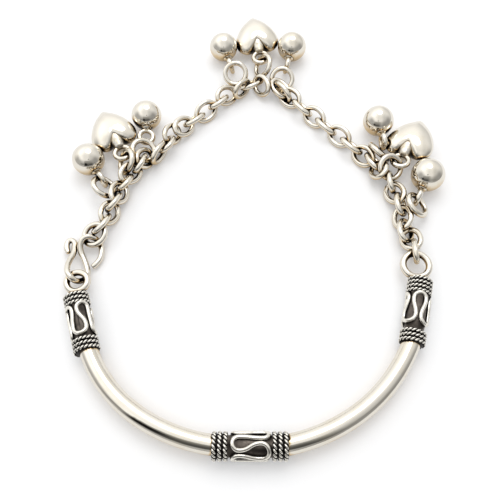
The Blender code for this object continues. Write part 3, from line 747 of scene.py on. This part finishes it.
def loft(rings, material):
    """Closed skin over rings of equally many points in millimetres, from first to last."""
    count = len(rings[0])
    points = [tuple(point * MM) for ring in rings for point in np.asarray(ring, float)]
    faces = []
    for row in range(len(rings) - 1):
        for k in range(count):
            after = (k + 1) % count
            faces.append((row * count + k, row * count + after,
                          (row + 1) * count + after, (row + 1) * count + k))
    for row in (0, len(rings) - 1):
        hub = len(points)
        points.append(tuple(np.mean(points[row * count:(row + 1) * count], axis=0)))
        for k in range(count):
            pair = (row * count + k, row * count + (k + 1) % count)
            faces.append((hub, *pair[::-1]) if row == 0 else (hub, *pair))
    mesh = bpy.data.meshes.new("loft")
    mesh.from_pydata(points, [], faces)
    mesh.materials.append(material)
    mesh.shade_smooth()
    face_outwards(mesh)
    return mesh


def moved(mesh, centre=(0, 0, 0), turn=None):
    """The same mesh, turned and then moved by millimetres."""
    matrix = Matrix.Translation(Vector(np.asarray(centre, float) * MM))
    if turn is not None:
        matrix = matrix @ Matrix(np.asarray(turn).tolist()).to_4x4()
    mesh.transform(matrix)
    return mesh


def add_piece(name, mesh, slot, *nodes):
    """A finished piece of the bracelet that stands for CAD nodes."""
    mesh.name = name
    piece = placed(name, mesh)
    piece["bangle_piece"] = True
    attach(piece, "root")
    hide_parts(*nodes)


def smooth_curve(points, steps):
    """Catmull-Rom curve through the points, with the given steps between each two."""
    points = np.asarray(points, float)
    last = len(points) - 1
    out = []
    for span in range(last):
        p0, p1, p2, p3 = (points[min(max(span + k, 0), last)] for k in (-1, 0, 1, 2))
        for step in range(steps):
            t = step / steps
            out.append(0.5 * (2 * p1 + (p2 - p0) * t + (2 * p0 - 5 * p1 + 4 * p2 - p3) * t ** 2
                              + (3 * p1 - p0 - 3 * p2 + p3) * t ** 3))
    out.append(points[-1])
    return np.array(out)


def bezier(p0, p1, p2, p3, steps):
    """Points of a cubic Bezier curve, with both ends."""
    p0, p1, p2, p3 = (np.array(p, float) for p in (p0, p1, p2, p3))
    t = np.linspace(0, 1, steps + 1)[:, None]
    return (1 - t) ** 3 * p0 + 3 * (1 - t) ** 2 * t * p1 + 3 * (1 - t) * t ** 2 * p2 + t ** 3 * p3


def full_turn(count):
    """Angles evenly round a circle, from 0."""
    return np.linspace(0, 2 * pi, count, endpoint=False)


def section(x, wide, high, count):
    """Oval ring of points across the X axis."""
    angles = full_turn(count)
    return np.column_stack([np.full(count, x), wide * np.cos(angles), high * np.sin(angles)])


def node_points(name):
    """The points of a CAD node, in millimetres."""
    return np.array([vertex.co for vertex in frame["nodes"][name].data.vertices]) / MM


def principal_axes(points):
    """Middle and axes of a cloud of points, longest axis first, right-handed."""
    middle = (points.max(axis=0) + points.min(axis=0)) / 2
    centred = points - points.mean(axis=0)
    values, vectors = np.linalg.eigh(centred.T @ centred)
    axes = vectors[:, ::-1]
    if np.linalg.det(axes) < 0:
        axes[:, 2] *= -1
    local = (points - middle) @ axes
    middle = middle + axes @ ((local.max(axis=0) + local.min(axis=0)) / 2)
    return middle, axes


def sleeve_axis(end):
    """Foot and head of an end sleeve's axis, and its direction."""
    foot, head = np.array((end.foot_x, end.foot_y)), np.array((end.head_x, end.head_y))
    return foot, head, (head - foot) / np.linalg.norm(head - foot)


def layout_shift():
    """Where the tables' origin lies in the frame, in millimetres.

    The left side of the bangle's box is the last rope of the left sleeve, its right side is the
    right end ring, and its front is the front sleeve.
    """
    low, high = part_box("bangle")
    left, right = ENDS
    aim = sleeve_axis(left)[2]
    own_low = left.head_x - aim[0] * LAST_ROPE - BAND_RADIUS * aim[1]
    own_high = right.ring_x + right.ring_dia / 2
    return np.array(((low[0] / MM - own_low + high[0] / MM - own_high) / 2,
                     low[1] / MM - (FRONT_Y - BAND_RADIUS), 0.0))


SHIFT = layout_shift()


def in_frame(points, height=None):
    """Table points moved to the frame; flat ones get the height in millimetres."""
    points = np.asarray(points, float)
    if height is not None:
        points = np.column_stack([points, np.full(len(points), height)])
    return points + SHIFT


def arc_line(end, arc, side):
    """Centre line of the bar's left or right arc, from the front sleeve to the end sleeve's foot."""
    foot, _, aim = sleeve_axis(end)
    inward = side * np.array((-aim[1], aim[0]))
    start = foot + inward * arc.foot_inset
    leave = inward * sin(radians(arc.foot_angle)) - aim * cos(radians(arc.foot_angle))
    front = np.array((side * SLEEVE_LENGTH / 2, FRONT_Y + arc.front_inset))
    reach = np.array((side * cos(radians(arc.front_angle)), sin(radians(arc.front_angle))))
    line = bezier(front, front + reach * arc.front_handle, start + leave * arc.foot_handle,
                  start, ARC_STEPS)
    return np.vstack([front - (side * BAR_INSIDE, 0), line, start + aim * BAR_INSIDE])


def sleeve_spans():
    """Foot and head of the three sleeves, with the ropes beside each."""
    left, right = ENDS
    front, half = np.array((0.0, FRONT_Y)), np.array((SLEEVE_LENGTH / 2, 0.0))
    return ((*sleeve_axis(left)[:2], FOOT_ROPES, left.ropes),
            (front - half, front + half, FOOT_ROPES, FOOT_ROPES),
            (*sleeve_axis(right)[:2], FOOT_ROPES, right.ropes))


def sleeve_turns(sleeve):
    """All turns of a sleeve's meander wire as (angle, reach, span), falling round the sleeve."""
    turns = [(turn.angle, turn.reach, turn.span) for turn in TURNS if turn.sleeve == sleeve]
    first, last = turns[0], turns[-1]
    hidden = TURNS_IN_ALL - len(turns)
    step = (360 - (first[0] - last[0])) / (hidden + 1)
    for k in range(1, hidden + 1):
        side = -1 if (last[1] > 0) == (k % 2 == 1) else 1
        turns.append((last[0] - k * step, side * HIDDEN_REACH, HIDDEN_SPAN))
    return turns


def turn_foot(turn, radius):
    """Half the width of a turn in radians, its roundness and where its straight wires begin."""
    _, reach, span = turn
    half = radians(span) / 2
    bend = min(half * radius, MEANDER_BEND)
    return half, bend, np.sign(reach) * (abs(reach) - bend)


def meander(sleeve, radius):
    """Closed course of a meander wire round the X axis, in millimetres."""
    turns = sleeve_turns(sleeve)
    line = []
    for k, turn in enumerate(turns):
        half, bend, foot = turn_foot(turn, radius)
        for step in np.linspace(pi / 2, -pi / 2, BEND_STEPS):
            line.append((radians(turn[0]) + half * sin(step),
                         foot + np.sign(foot) * bend * cos(step)))
        after = turns[(k + 1) % len(turns)]
        lap = 2 * pi if k == len(turns) - 1 else 0
        next_half, _, next_foot = turn_foot(after, radius)
        start, end = np.array(line[-1]), np.array((radians(after[0]) + next_half - lap, next_foot))
        handle = np.array((0, 0.5 * (end[1] - start[1])))
        line += list(bezier(start, start + handle, end - handle, end, STRETCH_STEPS)[1:-1])
    return np.array([(reach, radius * sin(angle), radius * cos(angle)) for angle, reach in line])


def sleeve_frame(foot, head, height):
    """Middle of a sleeve and the rotation that lays X along it with Z up."""
    along = np.array((*(head - foot), 0.0))
    along /= np.linalg.norm(along)
    side = np.cross((0, 0, 1), along)
    middle = np.array((*(foot + head) / 2, height)) + SHIFT
    return middle, np.column_stack([along, side, (0, 0, 1)])


def relief_over(mesh, low, high):
    """How high each point stands over the X axis, from 0 at low to 1 at high."""
    points = np.array([vertex.co for vertex in mesh.vertices]) / MM
    return np.clip((np.hypot(points[:, 1], points[:, 2]) - low) / (high - low), 0, 1)


def round_ring(diameter, wire, steps, sides):
    """Ring of silver wire about the Z axis, drawn thicker as the chain's wires are."""
    swell = bpy.context.scene.bangle_chain.swell / MM
    angles = full_turn(steps)
    line = (diameter - wire) / 2 * np.column_stack([np.cos(angles), np.sin(angles), 0 * angles])
    return tube(line, (wire + swell) / 2, silver(), sides, closed=True)


class BANGLE_OT_bar(bpy.types.Operator):
    """Bar with its two soldered end rings"""

    bl_idname = "bangle.bar"
    bl_label = "Bar and end rings"

    def execute(self, context):
        sizes = context.scene.bangle_bar
        height = sizes.axis_height / MM
        parts = []
        for end, arc, side in zip(ENDS, ARCS, (-1, 1)):
            line = in_frame(arc_line(end, arc, side), height)
            radii = np.linspace(sizes.front_radius / MM, sizes.bar_radius / MM, len(line))
            parts.append(tube(line, radii, silver(), sides=56))
            _, head, aim = sleeve_axis(end)
            stub = in_frame([head + aim * reach for reach, _ in STUB], height)
            parts.append(tube(stub, [radius for _, radius in STUB], silver(), sides=32))
            lift = radians(end.lift)
            heading = Matrix.Rotation(atan2(aim[1], aim[0]), 3, "Z")
            centre = np.array((end.ring_x, end.ring_y, height + sin(lift) * end.ring_dia / 2))
            ring = round_ring(end.ring_dia, end.ring_wire, steps=64, sides=20)
            parts.append(moved(ring, centre + SHIFT, heading @ Matrix.Rotation(-lift, 3, "Y")))
        add_piece("silver_bar", join(parts), "oxidised_silver", "bangle")
        return {"FINISHED"}


def core_profile(edge, band, ground_radius):
    """Half of a core's profile, from its rim to its ground: distance from its middle and radius."""
    return [(edge - RIM_INSET, RIM_RADIUS), (edge - CORE_INSET, CORE_RADIUS),
            (edge - band + CORE_SLOPE, CORE_RADIUS), (edge - band, ground_radius)]


def sleeve_core(edge, first, last, ground_radius):
    """Core of a sleeve: silver under its two bands of ropes and darkened ground between them."""
    profile = [(-x, radius) for x, radius in core_profile(edge, first, ground_radius)]
    profile += core_profile(edge, last, ground_radius)[::-1]
    core = loft([section(x, radius, radius, 48) for x, radius in profile], ground())
    core.materials.append(oxidised())
    for polygon in core.polygons:
        x = polygon.center.x / MM
        if not first - edge - CORE_SLOPE < x < edge - last + CORE_SLOPE:
            polygon.material_index = 1
    return core


def rope_band(start, ropes, pitch, sizes):
    """Ropes side by side round the X axis, from a start in millimetres."""
    band = grow(bpy.data.meshes.new("empty"), "Rope band", Material=oxidised(), Ropes=ropes,
                Pitch=pitch * MM, Ring=sizes.rope_ring, Strand=sizes.strand_radius,
                Offset=sizes.strand_offset, Twists=float(sizes.rope_twists))
    return moved(band, (start + pitch / 2, 0, 0), ((0, 0, 1), (1, 0, 0), (0, 1, 0)))


class BANGLE_OT_sleeves(bpy.types.Operator):
    """Three sleeves with rope bands and meander wires"""

    bl_idname = "bangle.sleeves"
    bl_label = "Wirework sleeves"

    def execute(self, context):
        sizes = context.scene.bangle_bar
        names = ("left", "front", "right")
        for name, (foot, head, first, last) in zip(names, sleeve_spans()):
            edge = np.linalg.norm(head - foot) / 2
            pitch = (sizes.front_pitch if name == "front" else sizes.rope_pitch) / MM
            core = sleeve_core(edge, first * pitch, last * pitch, sizes.ground_radius / MM)
            bands = [rope_band(-edge, first, pitch, sizes),
                     rope_band(edge - last * pitch, last, pitch, sizes)]
            course = meander(names.index(name), sizes.meander_radius / MM)
            wire = tube(course, sizes.meander_wire / MM / 2, oxidised(), sides=14, closed=True)
            mesh = join([core, *bands, wire])
            relief = [relief_over(band, *ROPE_RELIEF) for band in bands]
            store(mesh, "relief", np.concatenate([np.zeros(len(core.vertices)), *relief,
                                                  relief_over(wire, *MEANDER_RELIEF)]))
            moved(mesh, *sleeve_frame(foot, head, sizes.axis_height / MM))
            add_piece(name + "_sleeve", mesh, "oxidised_silver", "bangle")
        return {"FINISHED"}


class BANGLE_OT_hook(bpy.types.Operator):
    """S-hook with one curled end"""

    bl_idname = "bangle.hook"
    bl_label = "S-hook"

    def execute(self, context):
        sizes = context.scene.bangle_chain
        wire = (sizes.hook_wire + sizes.swell) / MM / 2
        path = in_frame(smooth_curve(HOOK_ROUTE, 9))
        along = np.linspace(0, 1, len(path))
        radii = wire * np.clip(TAPER_START + TAPER_GAIN * np.minimum(along, 1 - along), 0, 1)
        radii[0] = radii[-1] = wire * TIP_SHARE
        add_piece("hook_of_wire", tube(path, radii, silver(), sides=20), "silver", "s_hook")
        return {"FINISHED"}


def rings_mesh(names, long, wide, wire, steps):
    """Rings of wire in the places of the CAD's rings."""
    places = [principal_axes(node_points(name)) for name in names]
    source = bpy.data.meshes.new("places")
    source.from_pydata([(centre * MM).tolist() for centre, _ in places], [], [])
    turns = [Matrix(axes.tolist()).to_euler()[:] for _, axes in places]
    store(source, "turn", np.ravel(turns), "FLOAT_VECTOR", "vector")
    swell = bpy.context.scene.bangle_chain.swell
    return grow(source, "Rings", Material=silver(), Length=long + swell, Width=wide + swell,
                Wire=wire + swell, Steps=steps, Sides=16)


class BANGLE_OT_chain(bpy.types.Operator):
    """Links of the cable chain"""

    bl_idname = "bangle.chain"
    bl_label = "Chain links"

    def execute(self, context):
        sizes = context.scene.bangle_chain
        mesh = rings_mesh(LINK_NODES, sizes.link_length, sizes.link_width, sizes.link_wire, 44)
        add_piece("cable_chain", mesh, "silver", *LINK_NODES)
        return {"FINISHED"}


class BANGLE_OT_rings(bpy.types.Operator):
    """Jump rings of the charms and the clasp ring"""

    bl_idname = "bangle.rings"
    bl_label = "Jump rings and clasp ring"

    def execute(self, context):
        sizes = context.scene.bangle_chain
        jump_rings = ["jump_ring_" + charm for charm in CHARMS]
        for name, nodes, across, wire in (
                ("charm_rings", jump_rings, sizes.jump_diameter, sizes.jump_wire),
                ("hook_ring", ["clasp_ring"], sizes.clasp_diameter, sizes.clasp_wire)):
            add_piece(name, rings_mesh(nodes, across, across, wire, 48), "silver", *nodes)
        return {"FINISHED"}


def eye_loop(diameter, wire, reach, centre, axes):
    """Soldered eye of a charm, at its reach along the charm's own X axis."""
    loop = moved(round_ring(diameter, wire, steps=44, sides=16), (reach, 0, 0))
    return moved(loop, centre, axes)


def fit_ball(points):
    """Centre and radius of the ball in a CAD node, and the axes of its eye: X to the eye."""
    middle, axes = principal_axes(points)
    local = (points - middle) @ axes
    ends = [np.abs(local[local[:, 0] * side > BALL_END][:, 1:]).max() for side in (-1, 1)]
    side = -1 if ends[0] > ends[1] else 1
    radius = max(ends)
    centre = middle + axes[:, 0] * side * (local[:, 0].max() - radius)
    for _ in range(BALL_FITS):
        far = np.abs(np.linalg.norm(points - centre, axis=1) - radius)
        skin = points[far < BALL_SKIN]
        rows = np.column_stack([2 * skin, np.ones(len(skin))])
        answer = np.linalg.lstsq(rows, (skin ** 2).sum(axis=1), rcond=None)[0]
        centre = answer[:3]
        radius = sqrt(answer[3] + centre @ centre)
    eye = points[np.linalg.norm(points - centre, axis=1) > radius + EYE_CLEAR]
    aim = eye.mean(axis=0) - centre
    aim /= np.linalg.norm(aim)
    spread = eye - eye.mean(axis=0)
    spread = spread - np.outer(spread @ aim, aim)
    side = np.linalg.eigh(spread.T @ spread)[1][:, 2]
    return centre, radius, np.column_stack([aim, side, np.cross(aim, side)])


def ball_skin(radius):
    """Smooth ball with a little collar of solder where its peg stands."""
    rings = []
    for polar in np.linspace(POLE_ANGLE, pi - POLE_ANGLE, 40):
        out = radius + COLLAR_HEIGHT * np.exp(-(polar / COLLAR_SPREAD) ** 2)
        rings.append(section(out * cos(polar), out * sin(polar), out * sin(polar), 64))
    return loft(rings, silver())


def ball_peg(ball_radius, top, radius):
    """Peg that stands on a ball along the X axis, up to its top."""
    line = [(ball_radius + step, 0, 0) for step, _ in PEG] + [(top, 0, 0)]
    return tube(line, [radius * share for _, share in (*PEG, (top, PEG_TOP))], silver(), sides=20)


class BANGLE_OT_balls(bpy.types.Operator):
    """Balls with a peg and an eye"""

    bl_idname = "bangle.balls"
    bl_label = "Ball charms"

    def execute(self, context):
        sizes = context.scene.bangle_charms
        eye, wire = sizes.ball_eye / MM, sizes.eye_wire / MM
        for name in CHARMS:
            if not name.startswith("ball"):
                continue
            centre, radius, axes = fit_ball(node_points(name))
            reach = radius + BALL_EYE_GAP + eye / 2
            top = radius + BALL_EYE_GAP + wire * PEG_BITE
            radius = min(radius * BALL_FULLNESS, sizes.largest_ball / MM / 2)
            resting = (centre[0], centre[1], max(centre[2], radius))
            parts = [moved(ball_skin(radius), resting, axes),
                     moved(ball_peg(radius, top, sizes.peg_radius / MM), centre, axes),
                     eye_loop(eye, wire, reach, centre, axes)]
            add_piece("silver_" + name, join(parts), "silver", name)
        return {"FINISHED"}


def heart_outline(steps=7):
    """Closed outline of a heart: rounded at its tip, creased at its cleft."""
    half = np.array(HEART_HALF)
    control = np.vstack([half[1] * (1, -1), half, half[-1] * 2 - half[-2]])
    side = smooth_curve(control, steps)[steps:-steps]
    return np.vstack([side, side[-2:0:-1] * (1, -1)])


def heart_skin(thickness, fullness):
    """Puffed heart: the outline shrinks to a rounded oval as it swells to both sides."""
    middle = np.array((HEART_MIDDLE, 0.0))
    spokes = (heart_outline() - middle) * fullness
    angles = np.arctan2(spokes[:, 1], spokes[:, 0])
    rounded = np.column_stack([np.cos(angles), np.sin(angles)]) * HEART_OVAL
    rings = []
    for turn in np.linspace(-PUFF_TURN, PUFF_TURN, 45):
        level = cos(turn * pi)
        height = np.sign(turn) * thickness / 2 * (1 - level ** PUFF_POWER) ** PUFF_ROOT
        share = level ** OUTLINE_POWER
        ring = middle + (spokes * share + rounded * (1 - share)) * level
        rings.append(np.column_stack([ring, np.full(len(ring), height)]))
    return loft(rings, silver())


def solder_lug(reach, eye, wire):
    """Lump of solder between a heart's lobes and its eye."""
    near = reach - eye / 2
    stations = [*LUG, *((near + wire * wires, radius) for wires, radius in LUG_AT_EYE)]
    rings = []
    for x, radius in smooth_curve(stations, 5):
        ring = section(x, radius, radius * LUG_DEPTH, 40)
        rough = [noise.noise_vector(Vector(point * LUG_GRAIN)) for point in ring]
        rings.append(ring + np.array(rough) * LUG_ROUGHNESS)
    return loft(rings, solder())


class BANGLE_OT_hearts(bpy.types.Operator):
    """Puffed hearts with a solder lug and an eye"""

    bl_idname = "bangle.hearts"
    bl_label = "Heart charms"

    def execute(self, context):
        sizes = context.scene.bangle_charms
        eye, wire, reach = sizes.heart_eye / MM, sizes.eye_wire / MM, sizes.heart_reach / MM
        for name in CHARMS:
            if not name.startswith("heart"):
                continue
            middle, axes = principal_axes(node_points(name))
            local = (node_points(name) - middle) @ axes
            widths = [np.abs(local[local[:, 0] * side > 0][:, 1]).max() for side in (-1, 1)]
            if widths[1] > widths[0]:
                axes[:, :2] *= -1
            cleft = middle + axes[:, 0] * ((HEART_TIP + reach + eye / 2) / -2)
            skin = heart_skin(sizes.heart_thickness / MM, HEART_FULLNESS[name])
            parts = [moved(skin, cleft, axes),
                     moved(solder_lug(reach, eye, wire), cleft, axes),
                     eye_loop(eye, wire, reach, cleft, axes)]
            add_piece("silver_" + name, join(parts), "silver", name)
        return {"FINISHED"}


def around_normals(normals, count):
    """The same spread of directions about each of the normals."""
    step = np.arange(count)
    share = (step + 0.5) / count
    turn = step * GOLDEN_ANGLE
    spread = np.column_stack([np.sqrt(share) * np.cos(turn), np.sqrt(share) * np.sin(turn),
                              np.sqrt(1 - share)])
    helper = np.where(np.abs(normals[:, 2:]) < 0.9, (0.0, 0.0, 1.0), (1.0, 0.0, 0.0))
    first = np.cross(normals, helper)
    first /= np.linalg.norm(first, axis=1)[:, None]
    second = np.cross(normals, first)
    return (spread[:, 0, None] * first[:, None] + spread[:, 1, None] * second[:, None]
            + spread[:, 2, None] * normals[:, None])


class BANGLE_OT_tarnish_and_shade(bpy.types.Operator):
    """Tarnish and painted shade where metal lies close to metal, and painted shade where it faces the
    table
    """

    bl_idname = "bangle.tarnish"
    bl_label = "Tarnish and shade"

    def execute(self, context):
        finishes = context.scene.bangle_finishes
        pieces = [piece for piece in context.scene.objects if "bangle_piece" in piece]
        points, faces = [], []
        for piece in pieces:
            start = len(points)
            points += [vertex.co[:] for vertex in piece.data.vertices]
            faces += [[start + k for k in polygon.vertices] for polygon in piece.data.polygons]
        metal = BVHTree.FromPolygons(points, faces)
        for piece in pieces:
            mesh = piece.data
            normals = np.array([vertex.normal for vertex in mesh.vertices])
            # Painted shade on what faces the table, standing in for the shadowed table that it reflects
            below = np.clip((UNDER_FROM - normals[:, 2]) * UNDER_GAIN, 0, UNDER_MOST)
            reach = finishes.tarnish_and_shade_reach
            if piece.name.endswith("sleeve"):
                below = 0
                reach *= SLEEVE_REACH
            # Metal that the rays meet nearby paints tarnish and shade
            hidden = np.zeros(len(normals))
            for k, (vertex, ways) in enumerate(zip(mesh.vertices, around_normals(normals, RAYS))):
                start = vertex.co + vertex.normal * RAY_LIFT
                for way in ways:
                    distance = metal.ray_cast(start, Vector(way), reach)[3]
                    if distance is not None:
                        hidden[k] += 1 - distance / reach
            store(mesh, "tarnish_and_shade", np.clip(hidden / RAYS + below, 0, 1))
        return {"FINISHED"}


def tent_light(settings):
    """White tent as the world, brightest at the back and at the left."""
    world = bpy.data.worlds.new("White tent")
    world.use_nodes = True
    bpy.context.scene.world = world
    tree = Tree(world.node_tree)
    x, y, z = tree.split(tree.node("ShaderNodeTexCoord").outputs["Generated"])
    height = z.math("ARCSINE") * (180 / pi)
    back, front = (wall.foot + height.ramp(wall.low, wall.high) * wall.gain
                   for wall in (BACK_WALL, FRONT_WALL))
    level = back + (front - back) * (1 - y.ramp(*FRONT_TO_BACK))
    level = level + (x * -1.0).ramp(*LEFT_GLOW) * height.ramp(*LEFT_HEIGHTS) * LEFT_GAIN
    level = level * (1 - x.ramp(*RIGHT_DIM) * RIGHT_LOSS)
    background = world.node_tree.nodes["Background"]
    connect(tree, background, Color=(1.0, 1.0, 1.0, 1.0), Strength=level * settings.tent)


def flat_board(name, corners, material):
    """An object that is one flat face through its corners, in metres."""
    mesh = bpy.data.meshes.new(name)
    mesh.from_pydata(corners, [], [tuple(range(len(corners)))])
    mesh.materials.append(material)
    return placed(name, mesh)


def only_reflected(name, corners, glow, cover):
    """Flat board that only the polished metal shows, at the corners given in millimetres."""
    material, tree, shader, place = finish(name)
    across, up = (part * (1 / MM) for part in tree.split(place)[::2])
    colour = tree.mix(glow(across, up), (0.0, 0.0, 0.0), (1.0, 0.99, 0.96))
    connect(tree, shader, Base_Color=(0.0, 0.0, 0.0, 1.0), Specular_IOR_Level=0.0, Roughness=0.9,
            Emission_Color=colour, Emission_Strength=1.0, Alpha=cover(across, up))
    board = flat_board(name, (np.array(corners) * MM).tolist(), material)
    for kind in ("camera", "diffuse", "shadow"):
        setattr(board, "visible_" + kind, False)


def dark_front():
    """Dark front opening of the tent, just before the bracelet, with a long grey seam.

    Its greys are shares of full white, and its cover is 1 where it hides the tent.
    """
    def glow(across, up):
        away = ((across - SPOT[0]) ** 2 + (up - SPOT[1]) ** 2).math("SQRT")
        grey = 0.08 + up.ramp(14.0, 62.0) * 0.34 + across.ramp(12.0, 40.0) * 0.14
        return grey * (0.04 + away.ramp(*SPOT_EDGE) * 0.96)

    def cover(across, up):
        opening = across.ramp(*LEFT_EDGE) * (1 - across.ramp(*RIGHT_EDGE) * 0.85)
        opening = opening * up.ramp(*LOWER_EDGE) * (1 - up.ramp(*UPPER_EDGE))
        seam = (1 - (up - SEAM_HEIGHT).math("ABSOLUTE").ramp(*SEAM_EDGE)) * 0.5
        return opening.math("MAXIMUM", seam * (1 - across.math("ABSOLUTE").ramp(*SEAM_ENDS)))

    corners = [(side * OPENING_HALF, OPENING_Y, height) for side, height in (
        (-1, OPENING_LOW), (1, OPENING_LOW), (1, OPENING_HIGH), (-1, OPENING_HIGH))]
    only_reflected("dark_front", corners, glow, cover)


def dark_lens(position, tilt):
    """Dark round front of the camera."""
    ring = [position + LENS_RADIUS * np.array((cos(a), sin(tilt) * sin(a), cos(tilt) * sin(a)))
            for a in full_turn(32)]
    only_reflected("lens_front", ring, lambda across, up: up * 0.0 + 0.12, lambda across, up: 1.0)


class BANGLE_OT_stage(bpy.types.Operator):
    """Table, light and camera"""

    bl_idname = "bangle.stage"
    bl_label = "Stage"

    def execute(self, context):
        settings = context.scene.bangle_stage
        corners = [(x * TABLE_HALF, y * TABLE_HALF, 0)
                   for x, y in ((-1, -1), (1, -1), (1, 1), (-1, 1))]
        surface = flat_board("table", corners, table_finish(settings))
        surface.location.z = -TABLE_DROP
        tent_light(settings)
        light = bpy.data.lights.new("key", "AREA")
        light.shape = "DISK"
        light.size = KEY_SIZE
        light.energy = settings.key
        key = placed("key", light)
        key.location = KEY_PLACE
        key.rotation_euler = (-key.location).to_track_quat("-Z", "Y").to_euler()
        lens = bpy.data.cameras.new("camera")
        lens.sensor_width = 36.0
        lens.lens = settings.lens
        lens.clip_start = NEAREST
        camera = placed("camera", lens)
        tilt = radians(settings.elevation)
        back = Vector((0, -cos(tilt), sin(tilt))) * settings.distance
        camera.location = Vector(SHIFT * MM) + back
        camera.rotation_euler = (pi / 2 - tilt, 0, 0)
        dark_front()
        dark_lens(SHIFT + np.array(back) * LENS_BEHIND / MM, tilt)
        context.scene.camera = camera
        context.scene.view_settings.view_transform = "Standard"
        return {"FINISHED"}


OPERATORS = (BANGLE_OT_bar, BANGLE_OT_sleeves, BANGLE_OT_hook, BANGLE_OT_chain, BANGLE_OT_rings,
             BANGLE_OT_balls, BANGLE_OT_hearts, BANGLE_OT_tarnish_and_shade, BANGLE_OT_stage)
GROUPS = (("bangle_bar", BarSizes), ("bangle_chain", ChainSizes), ("bangle_charms", CharmSizes),
          ("bangle_finishes", Finishes), ("bangle_stage", StageSettings))


class BANGLE_PT_panel(bpy.types.Panel):
    """Buttons and settings of the charm bangle"""

    bl_label = "Charm bangle"
    bl_space_type = "VIEW_3D"
    bl_region_type = "UI"
    bl_category = "Bangle"

    def draw(self, context):
        for operator in OPERATORS:
            self.layout.operator(operator.bl_idname)
        for name, group in GROUPS:
            box = self.layout.box()
            for key in group.__annotations__:
                box.prop(getattr(context.scene, name), key)


def register():
    """Register the settings, the operators and the panel."""
    for name, group in GROUPS:
        bpy.utils.register_class(group)
        setattr(bpy.types.Scene, name, bpy.props.PointerProperty(type=group))
    for operator in (*OPERATORS, BANGLE_PT_panel):
        bpy.utils.register_class(operator)


def unregister():
    """Take everything back that register added."""
    for operator in (BANGLE_PT_panel, *reversed(OPERATORS)):
        bpy.utils.unregister_class(operator)
    for name, group in reversed(GROUPS):
        delattr(bpy.types.Scene, name)
        bpy.utils.unregister_class(group)


def main():
    """Build the bracelet and its stage."""
    register()
    for operator in OPERATORS:
        module, name = operator.bl_idname.split(".")
        getattr(getattr(bpy.ops, module), name)()


if __name__ == "__main__":
    main()
